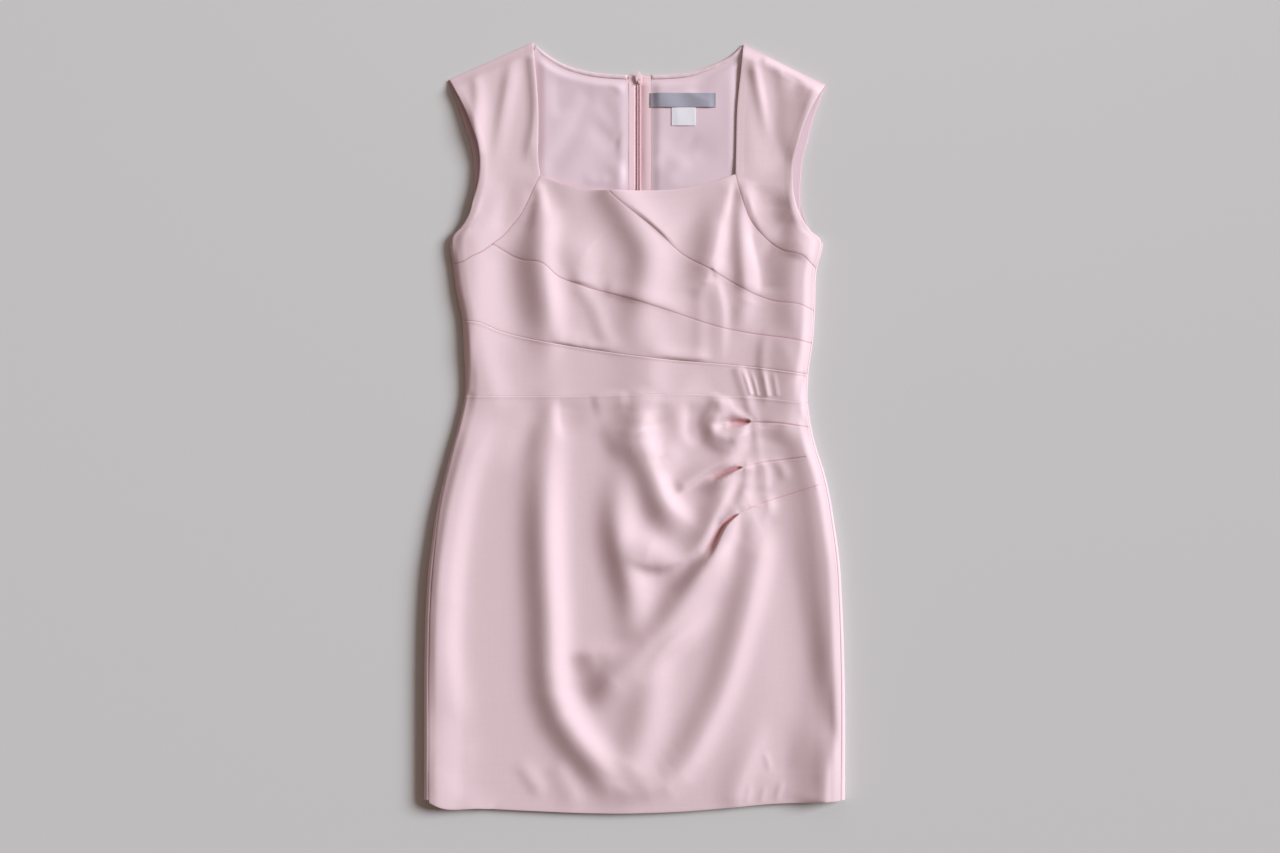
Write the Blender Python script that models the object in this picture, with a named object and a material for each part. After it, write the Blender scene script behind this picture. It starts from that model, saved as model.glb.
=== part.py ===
"""Sleeveless sheath dress lying flat on its back: each cut piece is one closed wall of cloth.

Tables are in millimetres and the scene is in metres. X runs to the wearer's left, Y to the neck,
Z up from the surface the dress lies on. The back lies flat and curls up at the sides, and the
front arches over it as one relief that its panels share, so that they meet along their seams.
"""

import math
from collections import namedtuple

import bpy
import numpy as np

MM = 0.001
WALL = 1.4  # shell cloth
LINING_WALL = 1.0
SEAM_GAP = 0.3
SIDE_GAP = 0.4  # along the outside of the rolled side, a little more than inside it
CENTRE_BACK = 5.0
UNDERARM = 228.0
RIGHT, LEFT = -1, 1  # the wearer's sides

FRONT_BASE_BODICE = 9.0
FRONT_BASE_SKIRT = 8.0
BASE_FROM, BASE_TO = 60.0, 0.0  # the front sinks from the bodice's height to the skirt's
ARMHOLE_HEIGHT = 9.2
ARMHOLE_BLEND = 24.0
SHOULDER_HEIGHT = 3.1
SHOULDER_RISE = 16.0
CURL_FADE = 36.0  # how far above the underarm the back's curl ends
LEAST_ROLL = 1.0  # nearer the edge than this the roll goes on as a straight slope

Side = namedtuple("Side", "y x")
Roll = namedtuple("Roll", "y right left")
Fold = namedtuple("Fold", "name height left right rise fall crest")

EDGE = {
    RIGHT: (
        Side(418, -224), Side(379, -210), Side(357, -203), Side(338, -197), Side(318, -194),
        Side(285, -194), Side(257, -199), Side(242, -208), Side(228, -220), Side(217, -221),
        Side(196, -218), Side(165, -214), Side(129, -207), Side(93, -205), Side(38, -204),
        Side(9, -210), Side(-27, -220), Side(-62, -229), Side(-97, -237), Side(-136, -243),
        Side(-167, -247), Side(-207, -250), Side(-275, -252), Side(-360, -252.5),
        Side(-447, -252.5),
    ),
    LEFT: (
        Side(412, 231), Side(381, 219), Side(361, 213), Side(340, 208), Side(322, 203),
        Side(299, 201), Side(285, 200), Side(257, 203), Side(238, 211), Side(223, 226),
        Side(213, 225), Side(190, 219), Side(148, 217), Side(110, 215), Side(65, 209),
        Side(32, 208), Side(21, 209), Side(-3, 213), Side(-27, 219), Side(-51, 227),
        Side(-75, 233), Side(-123, 241), Side(-159, 246), Side(-207, 249), Side(-255, 251),
        Side(-327, 252.5), Side(-447, 252.5),
    ),
}
ROLL_RADIUS = (
    Roll(228, 4.8, 4.8), Roll(38, 4.8, 4.8), Roll(-60, 5.6, 5.0), Roll(-170, 7.0, 5.8),
    Roll(-447, 7.0, 6.4),
)
SEAM_INSET = (
    Roll(228, 1.2, 1.5), Roll(38, 1.2, 1.8), Roll(-62, 1.6, 2.8), Roll(-120, 4.2, 3.2),
    Roll(-167, 6.2, 3.8), Roll(-447, 6.6, 5.6),
)
ROLL_REACH = {RIGHT: 42.0, LEFT: 34.0}  # how far in the rolled side sinks to the front's base
ARMHOLE_SET_BACK = {RIGHT: (270.0, 418.0, 8.5), LEFT: (240.0, 412.0, 11.0)}  # from, to, most

SHOULDER = {
    RIGHT: ((-224, 418), (-122, 463)),
    LEFT: ((231, 412), (131, 461)),
}
BACK_NECK = {
    RIGHT: ((5, 424), (-27, 425), (-59, 429), (-85, 437), (-104, 448), (-122, 463)),
    LEFT: ((5, 424), (34, 424.5), (63, 427), (95, 437), (118, 449), (131, 461)),
}
STRAP_NECK = {
    RIGHT: ((-113, 303), (-115, 317), (-115, 352), (-115, 382), (-117, 412), (-122, 463)),
    LEFT: ((121, 304), (122, 346), (123, 382), (127, 424), (131, 461)),
}
NECK_RIGHT = ((-113, 303), (-91, 294), (-71, 289), (-53, 285), (-32, 284))
NECK_LEFT = ((-32, 284), (11, 284), (60, 287), (92, 294), (121, 304))
YOKE_RIGHT_LOW = (None, (-205, 199), (-195, 205), (-184, 210), (-170, 220))
YOKE_RIGHT_HIGH = (
    (-170, 220), (-157, 231), (-147, 243), (-138, 254), (-130, 268), (-123, 283), (-113, 303),
)
YOKE_LEFT = ((121, 304), (129, 274), (140, 248), (156, 229), (176, 213), (201, 205), None)
BUST_SEAM = (
    (-32, 284), (-21, 274), (1, 256), (25, 237), (60, 206), (95, 187), (137, 163), (166, 152),
    (199, 147), None,
)
MIDRIFF_SEAM = (
    (-170, 220), (-138, 202), (-109, 196), (-91, 181), (-65, 171), (-20, 158), (44, 139),
    (108, 119), (140, 113), (189, 106), None,
)
LOW_SEAM = (None, (-191, 127), (-159, 115), (-123, 106), (-79, 98), (28, 83), (140, 73), None)
WAIST_SEAM = (None, (-88, 38), (7, 40), (44, 41), (118, 38), (157, 35), None)
FRONT_HEM = (
    None, (-233, -455), (-185, -457), (-125, -460), (-41, -463), (55, -461), (127, -455),
    (160, -452), (199, -450), None,
)
SIDE_END = {  # where each seam meets the right and the left side
    "yoke": (196, 191), "bust": (None, 140), "midriff": (None, 101), "low": (128, 64),
    "waist": (38, 30), "hem": (-449, -447),
}
BACK_HEM = {RIGHT: ((5, -457), (-120, -454), None), LEFT: ((5, -457), (120, -452), None)}
BACK_WAIST = 34.0
WAIST_DROP_AT_SIDE = 0.5  # the back's waist seam ends this far below the front's
BACK_HEM_AT_SIDE = {RIGHT: -446.0, LEFT: -446.5}

FOLDS = (
    Fold("bust_right", 10.3, 16, 22, 0.33, 0.50,
         ((-130, 304), (-112, 262), (-111, 202), (-102, 126), (-111, 41))),
    Fold("bust_centre", 9.6, 24, 23, 0.11, 0.41,
         ((-37, 307), (-8, 258), (16, 210), (8, 147), (-2, 75))),
    Fold("bust_flat", 5.1, 28, 26, 0.54, 0.39, ((-79, 249), (-67, 201), (-37, 191))),
    Fold("bust_left_in", 9.2, 10, 21, 0.63, 0.33, ((117, 316), (103, 256), (92, 200), (73, 150))),
    Fold("yoke_crest", 9.7, 20, 26, 0.20, 0.22, ((228, 429), (225, 354), (213, 286), (170, 230))),
    Fold("side_crest", 4.7, 21, 34, 0.11, 0.10,
         ((-204, 414), (-197, 337), (-194, 245), (-194, 128), (-162, 2))),
    Fold("long_drape", 12.6, 18, 23, 0.39, 0.16,
         ((-92, 91), (-106, -74), (-102, -221), (-90, -337), (-38, -409), (12, -468))),
    Fold("hem_drape", 8.4, 22, 16, 0.11, 0.12,
         ((-28, -437), (37, -424), (91, -346), (131, -229), (156, -107))),
    Fold("low_tuck", 13.0, 21, 21, 0.11, 0.15,
         ((156, -92), (127, -107), (89, -165), (25, -254), (-62, -334))),
    Fold("centre_drape", 13.0, 14, 23, 0.20, 0.29,
         ((28, 44), (4, -12), (20, -49), (37, -91), (80, -131))),
    Fold("inner_drape", 12.2, 20, 20, 0.49, 0.49,
         ((-11, -13), (-19, -112), (-3, -202), (-4, -293))),
    Fold("middle_tuck", 7.0, 17, 9, 0.14, 0.31,
         ((-14, -151), (28, -164), (62, -152), (95, -103), (129, -24))),
    Fold("hip_crest", 6.4, 33, 24, 0.10, 0.04,
         ((188, 21), (214, -74), (222, -185), (236, -315), (213, -462))),
    Fold("midriff_small", 4.6, 22, 34, 0.38, 0.15, ((32, 133), (16, 76), (20, 18))),
    Fold("strap_outer", 7.7, 34, 7, 0.14, 0.70, ((152, 447), (177, 431), (172, 400))),
    Fold("upper_swirl", 5.4, 13, 11, 0.12, 0.20,
         ((106, 41), (99, 22), (89, 5), (96, -13), (114, -21), (136, -3))),
    Fold("upper_mouth", 4.7, 10, 30, 0.17, 0.49, ((140, 14), (129, 0), (93, 6))),
    Fold("side_crest_left", 7.5, 23, 30, 0.04, 0.16,
         ((222, 73), (196, 122), (193, 181), (202, 246))),
    Fold("hem_side_right", 3.0, 29, 23, 0.04, 0.39,
         ((-188, -475), (-222, -433), (-218, -387), (-249, -344))),
    Fold("midriff_side_left", 6.4, 27, 18, 0.17, 0.30,
         ((167, -21), (188, 37), (180, 86), (150, 121))),
    Fold("skirt_middle", 7.3, 26, 23, 0.15, 0.34, ((-20, -426), (7, -373), (18, -311), (24, -247))),
    Fold("drape_bridge", 7.7, 17, 15, 0.57, 0.42, ((67, -168), (25, -150), (-11, -126))),
    Fold("hip_right", 4.6, 33, 17, 0.09, 0.30,
         ((-226, -213), (-217, -131), (-201, -49), (-159, 31))),
    Fold("low_mouth_crest", 4.9, 30, 9, 0.64, 0.48,
         ((145, -123), (152, -111), (159, -94), (149, -71))),
    Fold("skirt_side_right", 4.6, 26, 18, 0.33, 0.11,
         ((-212, -384), (-220, -319), (-227, -255), (-222, -191))),
    Fold("underarm_left", 5.0, 6, 33, 0.70, 0.22, ((188, 213), (161, 229), (145, 253), (136, 285))),
    Fold("centre_dent", 4.2, 9, 15, 0.21, 0.07, ((25, -52), (40, -34), (27, -30), (14, 0))),
    Fold("skirt_cross", 6.8, 9, 23, 0.37, 0.51, ((-82, -278), (-37, -270), (8, -261))),
    Fold("waist_cross", 4.4, 15, 30, 0.37, 0.64, ((16, 16), (54, 36), (88, 62))),
    Fold("skirt_inner", 7.4, 10, 13, 0.43, 0.57, ((11, -301), (31, -272), (64, -243), (101, -207))),
    Fold("bust_left_out", 5.6, 12, 11, 0.14, 0.15,
         ((136, 299), (129, 260), (130, 210), (134, 151))),
    Fold("yoke_valley", -6.8, 28, 34, 0.31, 0.34, ((162, 292), (160, 252), (184, 209))),
    Fold("strap_crest", 2.9, 10, 8, 0.27, 0.64, ((-143, 454), (-158, 374), (-170, 294))),
    Fold("strap_edge_right", 3.5, 21, 9, 0.06, 0.23, ((-122, 450), (-118, 378), (-129, 310))),
    Fold("strap_mid_left", 3.0, 6, 7, 0.17, 0.66, ((141, 445), (152, 389), (162, 333))),
    Fold("hip_valley", -3.7, 34, 34, 0.31, 0.48, ((180, -95), (199, -260), (185, -426))),
    Fold("skirt_side_valley", -4.2, 16, 11, 0.30, 0.70, ((237, -394), (232, -332), (238, -265))),
    Fold("upper_hollow", -4.2, 29, 9, 0.20, 0.19, ((67, 36), (74, -10), (86, -5), (112, 2))),
    Fold("bust_diagonal", 3.8, 4, 34, 0.30, 0.58, ((53, 217), (12, 254), (-20, 279))),
    Fold("low_mouth_hollow", -6.0, 8, 12, 0.63, 0.38,
         ((98, -181), (116, -144), (128, -112), (122, -85))),
    Fold("hem_crest_left", 3.2, 18, 13, 0.19, 0.63,
         ((116, -467), (125, -422), (143, -378), (163, -331))),
    Fold("bust_seam_dent", 3.5, 12, 12, 0.64, 0.23, ((128, 105), (129, 135), (138, 163))),
    Fold("midriff_upright", 3.0, 17, 7, 0.66, 0.07, ((100, 61), (104, 102), (104, 142), (95, 181))),
    Fold("gather_valley", -3.3, 8, 23, 0.48, 0.30, ((-79, -21), (-87, 12), (-87, 39))),
    Fold("yoke_seam_groove", -2.3, 10, 7, 0.58, 0.24, ((-134, 218), (-126, 257), (-119, 296))),
    Fold("yoke_groove", -4.1, 16, 33, 0.41, 0.53,
         ((-164, 215), (-154, 244), (-148, 275), (-143, 308))),
    Fold("strap_groove_left", -3.0, 25, 13, 0.15, 0.20,
         ((186, 304), (167, 348), (166, 392), (159, 436))),
    Fold("low_tuck_lip", 3.8, 10, 10, 0.49, 0.39,
         ((42, -199), (72, -180), (94, -157), (116, -137))),
    Fold("side_valley_right", -3.2, 18, 21, 0.40, 0.27,
         ((-138, 76), (-147, 132), (-154, 186), (-151, 239))),
    Fold("bust_valley_left", -2.3, 6, 17, 0.14, 0.21,
         ((153, 159), (152, 185), (146, 212), (140, 241))),
    Fold("waist_groove_right", -2.5, 17, 16, 0.50, 0.30,
         ((-151, -60), (-135, -23), (-120, 11), (-104, 41))),
    Fold("hem_groove_left", -2.5, 24, 15, 0.36, 0.57,
         ((177, -434), (177, -405), (180, -373), (183, -338))),
    Fold("strap_edge_left", 4.0, 12, 9, 0.08, 0.25, ((136, 470), (126, 394), (127, 290))),
)
LINING_FOLDS = (
    Fold("lining_right_a", 1.8, 14, 18, 0.30, 0.30, ((-92, 424), (-60, 380), (-30, 330))),
    Fold("lining_right_b", 1.5, 14, 12, 0.30, 0.30, ((-32, 414), (-62, 352), (-88, 312))),
    Fold("lining_left", 1.8, 12, 12, 0.30, 0.30, ((122, 395), (110, 346), (66, 314))),
)
FOLD_REACH = 3.0  # a fold is left out beyond this many of its widths
HELD_FROM, HELD_OVER = 2.0, 14.0  # from the outline inward, where the side seams hold folds down
LOOSE_AT_ARMHOLE = 0.4  # share of a fold's height left at the armhole's free edge
VALLEY_SOFTNESS = 0.8  # valleys flatten out on the cloth beneath them
FOLD_STEPS = 20
SLOPE_STEP = 0.5  # how far either way a surface's slope is read
OUTLINE_STEPS = 300

ROLL_STATIONS = (0.0, 1.4, 3.2, 5.6, 9.5, 16.0, 25.0)  # from the side's seam inward
CURL_STATIONS = (0.0, 3.0, 6.0, 9.0, 12.0, 16.0, 22.0, 32.0)  # from the back's edge inward
COLUMNS_NECK_RIGHT = 6
COLUMNS_BUST_SEAM = 18
COLUMNS_YOKE_HIGH = 9
LOW_SHARE = 0.11  # where the yoke's lower corner falls along the seams beneath it
NECK_SHARE = 0.27  # where the neck's corner falls along the midriff seam
ROWS = {"yoke": 14, "bust_main": 10, "bust_upper": 8, "midriff": 6, "low": 6, "skirt": 36}
BACK_ROWS_BODICE, BACK_ROWS_SKIRT = 22, 16
BACK_COLUMNS_NECK, BACK_COLUMNS_STRAP, BACK_COLUMNS_SKIRT = 5, 2, 4

LINING_BOTTOM = 252.0
LINING_Z = 1.7
LINING_NECK_INSET, LINING_SHOULDER_INSET, LINING_ARMHOLE_INSET = 1.0, 8.0, 1.4
LINING_CENTRE = {RIGHT: -7.3, LEFT: 19.6}
LINING_COLUMNS, LINING_ROWS = 10, 9
LINING_NECK_POINTS = 20

TAPE = {RIGHT: (-7.0, 4.6), LEFT: (5.4, 19.3)}
TAPE_Z, TAPE_WALL = 1.7, 0.7
TAPE_LOW, TAPE_HIGH = -78.0, 422.6
COIL_LOW, COIL_HIGH, COIL_Z = -70.0, 412.4, 2.7
COIL_PROFILE = (
    (-2.9, 0.0), (-2.8, 0.9), (-2.0, 1.5), (-1.0, 1.6), (0.0, 1.2), (1.0, 1.6), (2.0, 1.5),
    (2.8, 0.9), (2.9, 0.0),
)
SLIDER_OUTLINE = (
    (-2.4, 412.8), (2.4, 412.8), (3.4, 419.0), (3.2, 423.6), (-3.2, 423.6), (-3.4, 419.0),
)
SLIDER_LOW, SLIDER_HIGH = 2.7, 4.5
HINGE_Y, HINGE_Z = 414.95, 5.6
BAIL_INNER, BAIL_OUTER, BAIL_HALF_WIDTH = 1.05, 1.95, 0.8
BAIL_FOOT = 0.4  # how deep its legs stand in the slider
TAB_OUTLINE = (
    (-3.0, -0.75), (0.0, -0.75), (3.0, -0.75), (3.7, 3.6), (4.2, 7.6), (0.0, 13.4),
    (-4.2, 7.6), (-3.7, 3.6),
)
TAB_WINDOW = (
    (-1.4, 0.75), (0.0, 0.75), (1.4, 0.75), (1.4, 2.6), (1.4, 4.5), (0.0, 4.5), (-1.4, 4.5),
    (-1.4, 2.6),
)
TAB_HALF_WALL = 0.45

Label = namedtuple("Label", "x_low x_high y_low y_high wall columns rows")
NECK_LABEL = Label(18.6, 97.8, 384.6, 401.8, 0.6, 8, 2)
CARE_LABEL = Label(44.4, 73.3, 362.5, 384.3, 0.5, 4, 3)

Finish = namedtuple("Finish", "name colour roughness metallic")
CREPE = Finish("pink_crepe", "#E3BFC8", 0.6, 0.0)
SATIN = Finish("pink_satin", "#DDB4BF", 0.35, 0.0)
TAPE_WEAVE = Finish("zip_tape_weave", "#E0B5BE", 0.7, 0.0)
COIL_NYLON = Finish("zip_coil_nylon", "#E8BBC5", 0.4, 0.0)
METAL = Finish("painted_metal", "#E6C9CC", 0.3, 0.2)
GREY_RIBBON = Finish("grey_satin_ribbon", "#8E8C97", 0.35, 0.0)
WHITE_RIBBON = Finish("white_ribbon", "#E9E6EA", 0.5, 0.0)
SHARP_ANGLE = 45.0  # edges turned further than this stay sharp in shading, in degrees


def linear(hex_colour):
    """The sRGB colour as the four linear numbers a material takes."""
    parts = [int(hex_colour[i:i + 2], 16) / 255 for i in (1, 3, 5)]
    return [p / 12.92 if p <= 0.04045 else ((p + 0.055) / 1.055) ** 2.4 for p in parts] + [1.0]


def smooth(share):
    share = np.clip(share, 0.0, 1.0)
    return share * share * (3.0 - 2.0 * share)


class Curve:
    """A smooth plane curve through its points, read by its share of length from 0 to 1."""

    def __init__(self, points):
        self.points = np.asarray(points, float)
        steps = np.linalg.norm(np.diff(self.points, axis=0), axis=1)
        self.length = steps.sum()
        self.shares = np.concatenate([[0.0], np.cumsum(steps)]) / self.length
        gaps = np.diff(self.shares)[:, None]
        slopes = np.diff(self.points, axis=0) / gaps
        self.tangents = np.empty_like(self.points)
        self.tangents[0], self.tangents[-1] = slopes[0], slopes[-1]
        self.tangents[1:-1] = (slopes[:-1] * gaps[1:] + slopes[1:] * gaps[:-1]) / (
            gaps[1:] + gaps[:-1])

    def at(self, shares):
        shares = np.clip(np.asarray(shares, float), 0.0, 1.0)
        i = np.clip(np.searchsorted(self.shares, shares, side="right") - 1,
                    0, len(self.shares) - 2)
        gap = (self.shares[i + 1] - self.shares[i])[..., None]
        s = (shares - self.shares[i])[..., None] / gap
        return ((2 * s**3 - 3 * s**2 + 1) * self.points[i]
                + (s**3 - 2 * s**2 + s) * gap * self.tangents[i]
                + (3 * s**2 - 2 * s**3) * self.points[i + 1]
                + (s**3 - s**2) * gap * self.tangents[i + 1])


def edge_table(side):
    """The outline's y and x in rising y, close enough to read by straight steps."""
    shares = np.linspace(0.0, 1.0, OUTLINE_STEPS)
    rows = Curve([(row.y, row.x) for row in EDGE[side]]).at(shares)
    return rows[::-1, 0], rows[::-1, 1]


EDGE_TABLE = {side: edge_table(side) for side in (RIGHT, LEFT)}


def edge_x(side, y):
    return np.interp(y, *EDGE_TABLE[side])


def along_side(table, side, y):
    """A roll table's value for this side at y."""
    rows = table[::-1]
    values = [row.right if side == RIGHT else row.left for row in rows]
    return np.interp(y, [row.y for row in rows], values)


def set_back(side, y):
    """How far the front's armhole edge lies inside the back's."""
    low, high, most = ARMHOLE_SET_BACK[side]
    share = np.clip((y - low) / (high - low), 0.0, 1.0)
    return most * 4.0 * share * (1.0 - share)


def front_x(side, y):
    """The front's edge: its side seam below the underarm and its armhole above it."""
    return edge_x(side, y) - side * (along_side(SEAM_INSET, side, y) + set_back(side, y))


def from_line(points, ends):
    """Distance of each point from the straight line through two ends."""
    a, b = np.asarray(ends, float)
    along = (b - a) / np.linalg.norm(b - a)
    apart = points - a
    return np.abs(along[0] * apart[..., 1] - along[1] * apart[..., 0])


def fold_height(points, fold):
    """The fold's height at each point: a soft ridge along its crest, its two flanks unlike."""
    reach = FOLD_REACH * max(fold.left, fold.right)
    crest = Curve(fold.crest).at(np.linspace(0.0, 1.0, FOLD_STEPS))
    inside = np.all((points > crest.min(0) - reach) & (points < crest.max(0) + reach), axis=-1)
    near = points[inside]
    away = np.full(len(near), np.inf)
    share = np.zeros(len(near))
    turn = np.zeros(len(near))
    for k in range(FOLD_STEPS - 1):
        step = crest[k + 1] - crest[k]
        apart = near - crest[k]
        s = np.clip(apart @ step / (step @ step), 0.0, 1.0)
        d = np.linalg.norm(apart - s[:, None] * step, axis=1)
        closer = d < away
        away = np.where(closer, d, away)
        share = np.where(closer, (k + s) / (FOLD_STEPS - 1), share)
        turn = np.where(closer, step[0] * apart[:, 1] - step[1] * apart[:, 0], turn)
    width = np.where(turn > 0.0, fold.left, fold.right)
    ends = smooth(share / fold.rise) * smooth((1.0 - share) / fold.fall)
    height = np.zeros(points.shape[:-1])
    height[inside] = fold.height * ends * np.exp(-(away / width) ** 2)
    return height


def rolled(inward, radius):
    """Height of the front over its rolled side, by distance in from the outline."""
    s = np.clip(inward, LEAST_ROLL, radius)
    rise = np.sqrt(radius**2 - (radius - s) ** 2)
    slope = np.where(inward < LEAST_ROLL, (radius - s) / rise, 0.0)
    return radius + rise + slope * (inward - LEAST_ROLL)


def front_height(points):
    """Height of the front's outer face."""
    x, y = points[..., 0], points[..., 1]
    base = FRONT_BASE_SKIRT + (FRONT_BASE_BODICE - FRONT_BASE_SKIRT) * smooth(
        (y - BASE_TO) / (BASE_FROM - BASE_TO))
    height = base.copy()
    open_armhole = smooth((y - UNDERARM) / ARMHOLE_BLEND)
    for side in (RIGHT, LEFT):
        inward = side * (edge_x(side, y) - x)
        radius = along_side(ROLL_RADIUS, side, y)
        over = rolled(inward, radius)
        over = over + (base - 2 * radius) * smooth((inward - radius) / ROLL_REACH[side])
        free = ARMHOLE_HEIGHT + (base - ARMHOLE_HEIGHT) * smooth(inward / ROLL_REACH[side])
        near = inward < radius + ROLL_REACH[side]
        height = np.where(near, over + (free - over) * open_armhole, height)
    drape = sum(fold_height(points, fold) for fold in FOLDS)
    for side in (RIGHT, LEFT):
        free = smooth((side * (edge_x(side, y) - x) - HELD_FROM) / HELD_OVER)
        drape = drape * (free + (1.0 - free) * LOOSE_AT_ARMHOLE * open_armhole)
    height = height + VALLEY_SOFTNESS * (
        np.logaddexp(drape / VALLEY_SOFTNESS, 0.0) - math.log(2.0))
    for ends in SHOULDER.values():
        rise = smooth(from_line(points, ends) / SHOULDER_RISE)
        height = np.where(y > UNDERARM, SHOULDER_HEIGHT + (height - SHOULDER_HEIGHT) * rise,
                          height)
    return height


def lining_height(points):
    height = np.full(points.shape[:-1], LINING_Z + LINING_WALL)
    for fold in LINING_FOLDS:
        height = height + fold_height(points, fold)
    return height


def upright(points, surface):
    """The surface's unit normals, from its slope either way."""
    dx, dy = np.array([SLOPE_STEP, 0.0]), np.array([0.0, SLOPE_STEP])
    slope_x = (surface(points + dx) - surface(points - dx)) / (2 * SLOPE_STEP)
    slope_y = (surface(points + dy) - surface(points - dy)) / (2 * SLOPE_STEP)
    normal = np.stack([-slope_x, -slope_y, np.ones_like(slope_x)], axis=-1)
    return normal / np.linalg.norm(normal, axis=-1, keepdims=True)


def stations(length, start=(0.0,), end=(0.0,), between=6):
    """Shares along an edge: the given distances from each end, and equal steps between them."""
    low, high = start[-1] / length, 1.0 - end[-1] / length
    inner = np.linspace(low, high, between + 1)[1:-1]
    ends = [d / length for d in start] + [1.0 - d / length for d in end]
    return np.sort(np.concatenate([ends, inner]))


def side_point(side, y):
    return (float(front_x(side, y)), float(y))


def seam(points, name=None):
    """A seam's curve, its open ends put on the side seams."""
    ends = SIDE_END.get(name, (None, None))
    points = list(points)
    if points[0] is None:
        points[0] = side_point(RIGHT, ends[0])
    if points[-1] is None:
        points[-1] = side_point(LEFT, ends[1])
    return Curve(points)


def side_rows(side, low, high, rows):
    """Points up the front's edge at equal steps of y."""
    ys = np.linspace(low, high, rows + 1)
    return np.stack([front_x(side, ys), ys], axis=-1)


def shares_of(points):
    steps = np.linalg.norm(np.diff(points, axis=0), axis=1)
    return np.concatenate([[0.0], np.cumsum(steps)]) / steps.sum()


def patch(bottom, top, left, right):
    """A grid of points, row by row from the bottom, that fills the space between four edges."""
    u = (shares_of(bottom) + shares_of(top))[None, :, None] / 2
    v = (shares_of(left) + shares_of(right))[:, None, None] / 2
    corners = ((1 - u) * (1 - v) * bottom[0] + u * (1 - v) * bottom[-1]
               + (1 - u) * v * top[0] + u * v * top[-1])
    return ((1 - v) * bottom[None] + v * top[None] + (1 - u) * left[:, None]
            + u * right[:, None] - corners)


def turned(vectors):
    """Each plane vector turned a quarter to its left, at unit length."""
    out = np.stack([-vectors[..., 1], vectors[..., 0]], axis=-1)
    return out / np.linalg.norm(out, axis=-1, keepdims=True)


def drawn_in(grid, amount):
    """The grid with its four edges moved inward by this amount, square to each edge."""
    grid = grid.copy()
    edges = (
        (grid[0], 1.0), (grid[-1], -1.0), (grid[:, 0], -1.0), (grid[:, -1], 1.0),
    )
    inward = [sign * turned(np.gradient(edge, axis=0)) for edge, sign in edges]
    low, high, left, right = inward
    moves = np.zeros_like(grid)
    moves[0, 1:-1], moves[-1, 1:-1] = low[1:-1], high[1:-1]
    moves[1:-1, 0], moves[1:-1, -1] = left[1:-1], right[1:-1]
    for row, column, a, b in ((0, 0, low[0], left[0]), (0, -1, low[-1], right[0]),
                              (-1, 0, high[0], left[-1]), (-1, -1, high[-1], right[-1])):
        moves[row, column] = (a + b) / (1.0 + a @ b)
    return grid + amount * moves


def material(finish):
    made = bpy.data.materials.new(finish.name)
    made.use_nodes = True
    shader = made.node_tree.nodes["Principled BSDF"]
    shader.inputs["Base Color"].default_value = linear(finish.colour)
    shader.inputs["Roughness"].default_value = finish.roughness
    shader.inputs["Metallic"].default_value = finish.metallic
    return made


def add_object(name, vertices, faces, made_of, origin=(0.0, 0.0, 0.0)):
    """A mesh object from points in millimetres, its origin where a moving piece turns."""
    mesh = bpy.data.meshes.new(name)
    mesh.from_pydata((np.asarray(vertices, float) - origin) * MM, [], faces)
    mesh.polygons.foreach_set("use_smooth", [True] * len(mesh.polygons))
    mesh.set_sharp_from_angle(angle=math.radians(SHARP_ANGLE))
    mesh.materials.append(made_of)
    obj = bpy.data.objects.new(name, mesh)
    obj.location = np.asarray(origin) * MM
    bpy.context.scene.collection.objects.link(obj)
    return obj


def split_quads(outer, middle_height):
    """Triangles of a grid, each four-sided cell cut along the diagonal nearer its surface."""
    rows, columns = outer.shape[:2]
    index = np.arange(rows * columns).reshape(rows, columns)
    z = outer[..., 2]
    rising = (z[:-1, :-1] + z[1:, 1:]) / 2
    falling = (z[:-1, 1:] + z[1:, :-1]) / 2
    use_rising = np.abs(rising - middle_height) <= np.abs(falling - middle_height)
    triangles = []
    for r in range(rows - 1):
        for c in range(columns - 1):
            a, b = index[r, c], index[r, c + 1]
            d, e = index[r + 1, c], index[r + 1, c + 1]
            pair = ((a, b, e), (a, e, d)) if use_rising[r, c] else ((a, b, d), (b, e, d))
            triangles.extend(pair)
    return triangles


def wall(name, outer, inner, middle_height, made_of):
    """A closed wall between two grids of the same size, the first one's faces turned up."""
    rows, columns = outer.shape[:2]
    count = rows * columns
    top = split_quads(outer, middle_height)
    faces = top + [(c + count, b + count, a + count) for a, b, c in top]
    index = np.arange(count).reshape(rows, columns)
    rim = np.concatenate([index[0], index[1:, -1], index[-1, -2::-1], index[-2:0:-1, 0]])
    for a, b in zip(rim, np.roll(rim, -1)):
        faces.append((a, a + count, b + count))
        faces.append((a, b + count, b))
    vertices = np.concatenate([outer.reshape(-1, 3), inner.reshape(-1, 3)])
    return add_object(name, vertices, [tuple(int(i) for i in f) for f in faces], made_of)


def sheet(name, grid, surface, thick, made_of, lift=0.0):
    """A wall whose upper face follows a surface and whose lower face lies under it, square."""
    normals = upright(grid, surface)
    outer = np.concatenate([grid, surface(grid)[..., None]], axis=-1) + lift * normals
    inner = outer - thick * normals
    middles = (grid[:-1, :-1] + grid[1:, :-1] + grid[:-1, 1:] + grid[1:, 1:]) / 4
    return wall(name, outer, inner, surface(middles) + lift, made_of)


def seam_angle(side, y):
    """Where the side seam lies on the rolled side: 0 is outward and a quarter turn is up."""
    radius = along_side(ROLL_RADIUS, side, y)
    return np.arccos((radius - along_side(SEAM_INSET, side, y)) / radius)


def curl_end(side, y):
    """The angle at which the back's curl ends, falling away above the underarm."""
    radius = along_side(ROLL_RADIUS, side, y)
    joined = seam_angle(side, y) - SIDE_GAP / radius
    fade = (1.0 - np.clip((y - UNDERARM) / CURL_FADE, 0.0, 1.0)) ** 2
    return -math.pi / 2 + (joined + math.pi / 2) * fade


def flat_end(side, y):
    """x at which the back leaves the floor and starts its curl."""
    reach = np.cos(np.minimum(curl_end(side, y), 0.0))
    return edge_x(side, y) - side * along_side(ROLL_RADIUS, side, y) * reach


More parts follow.
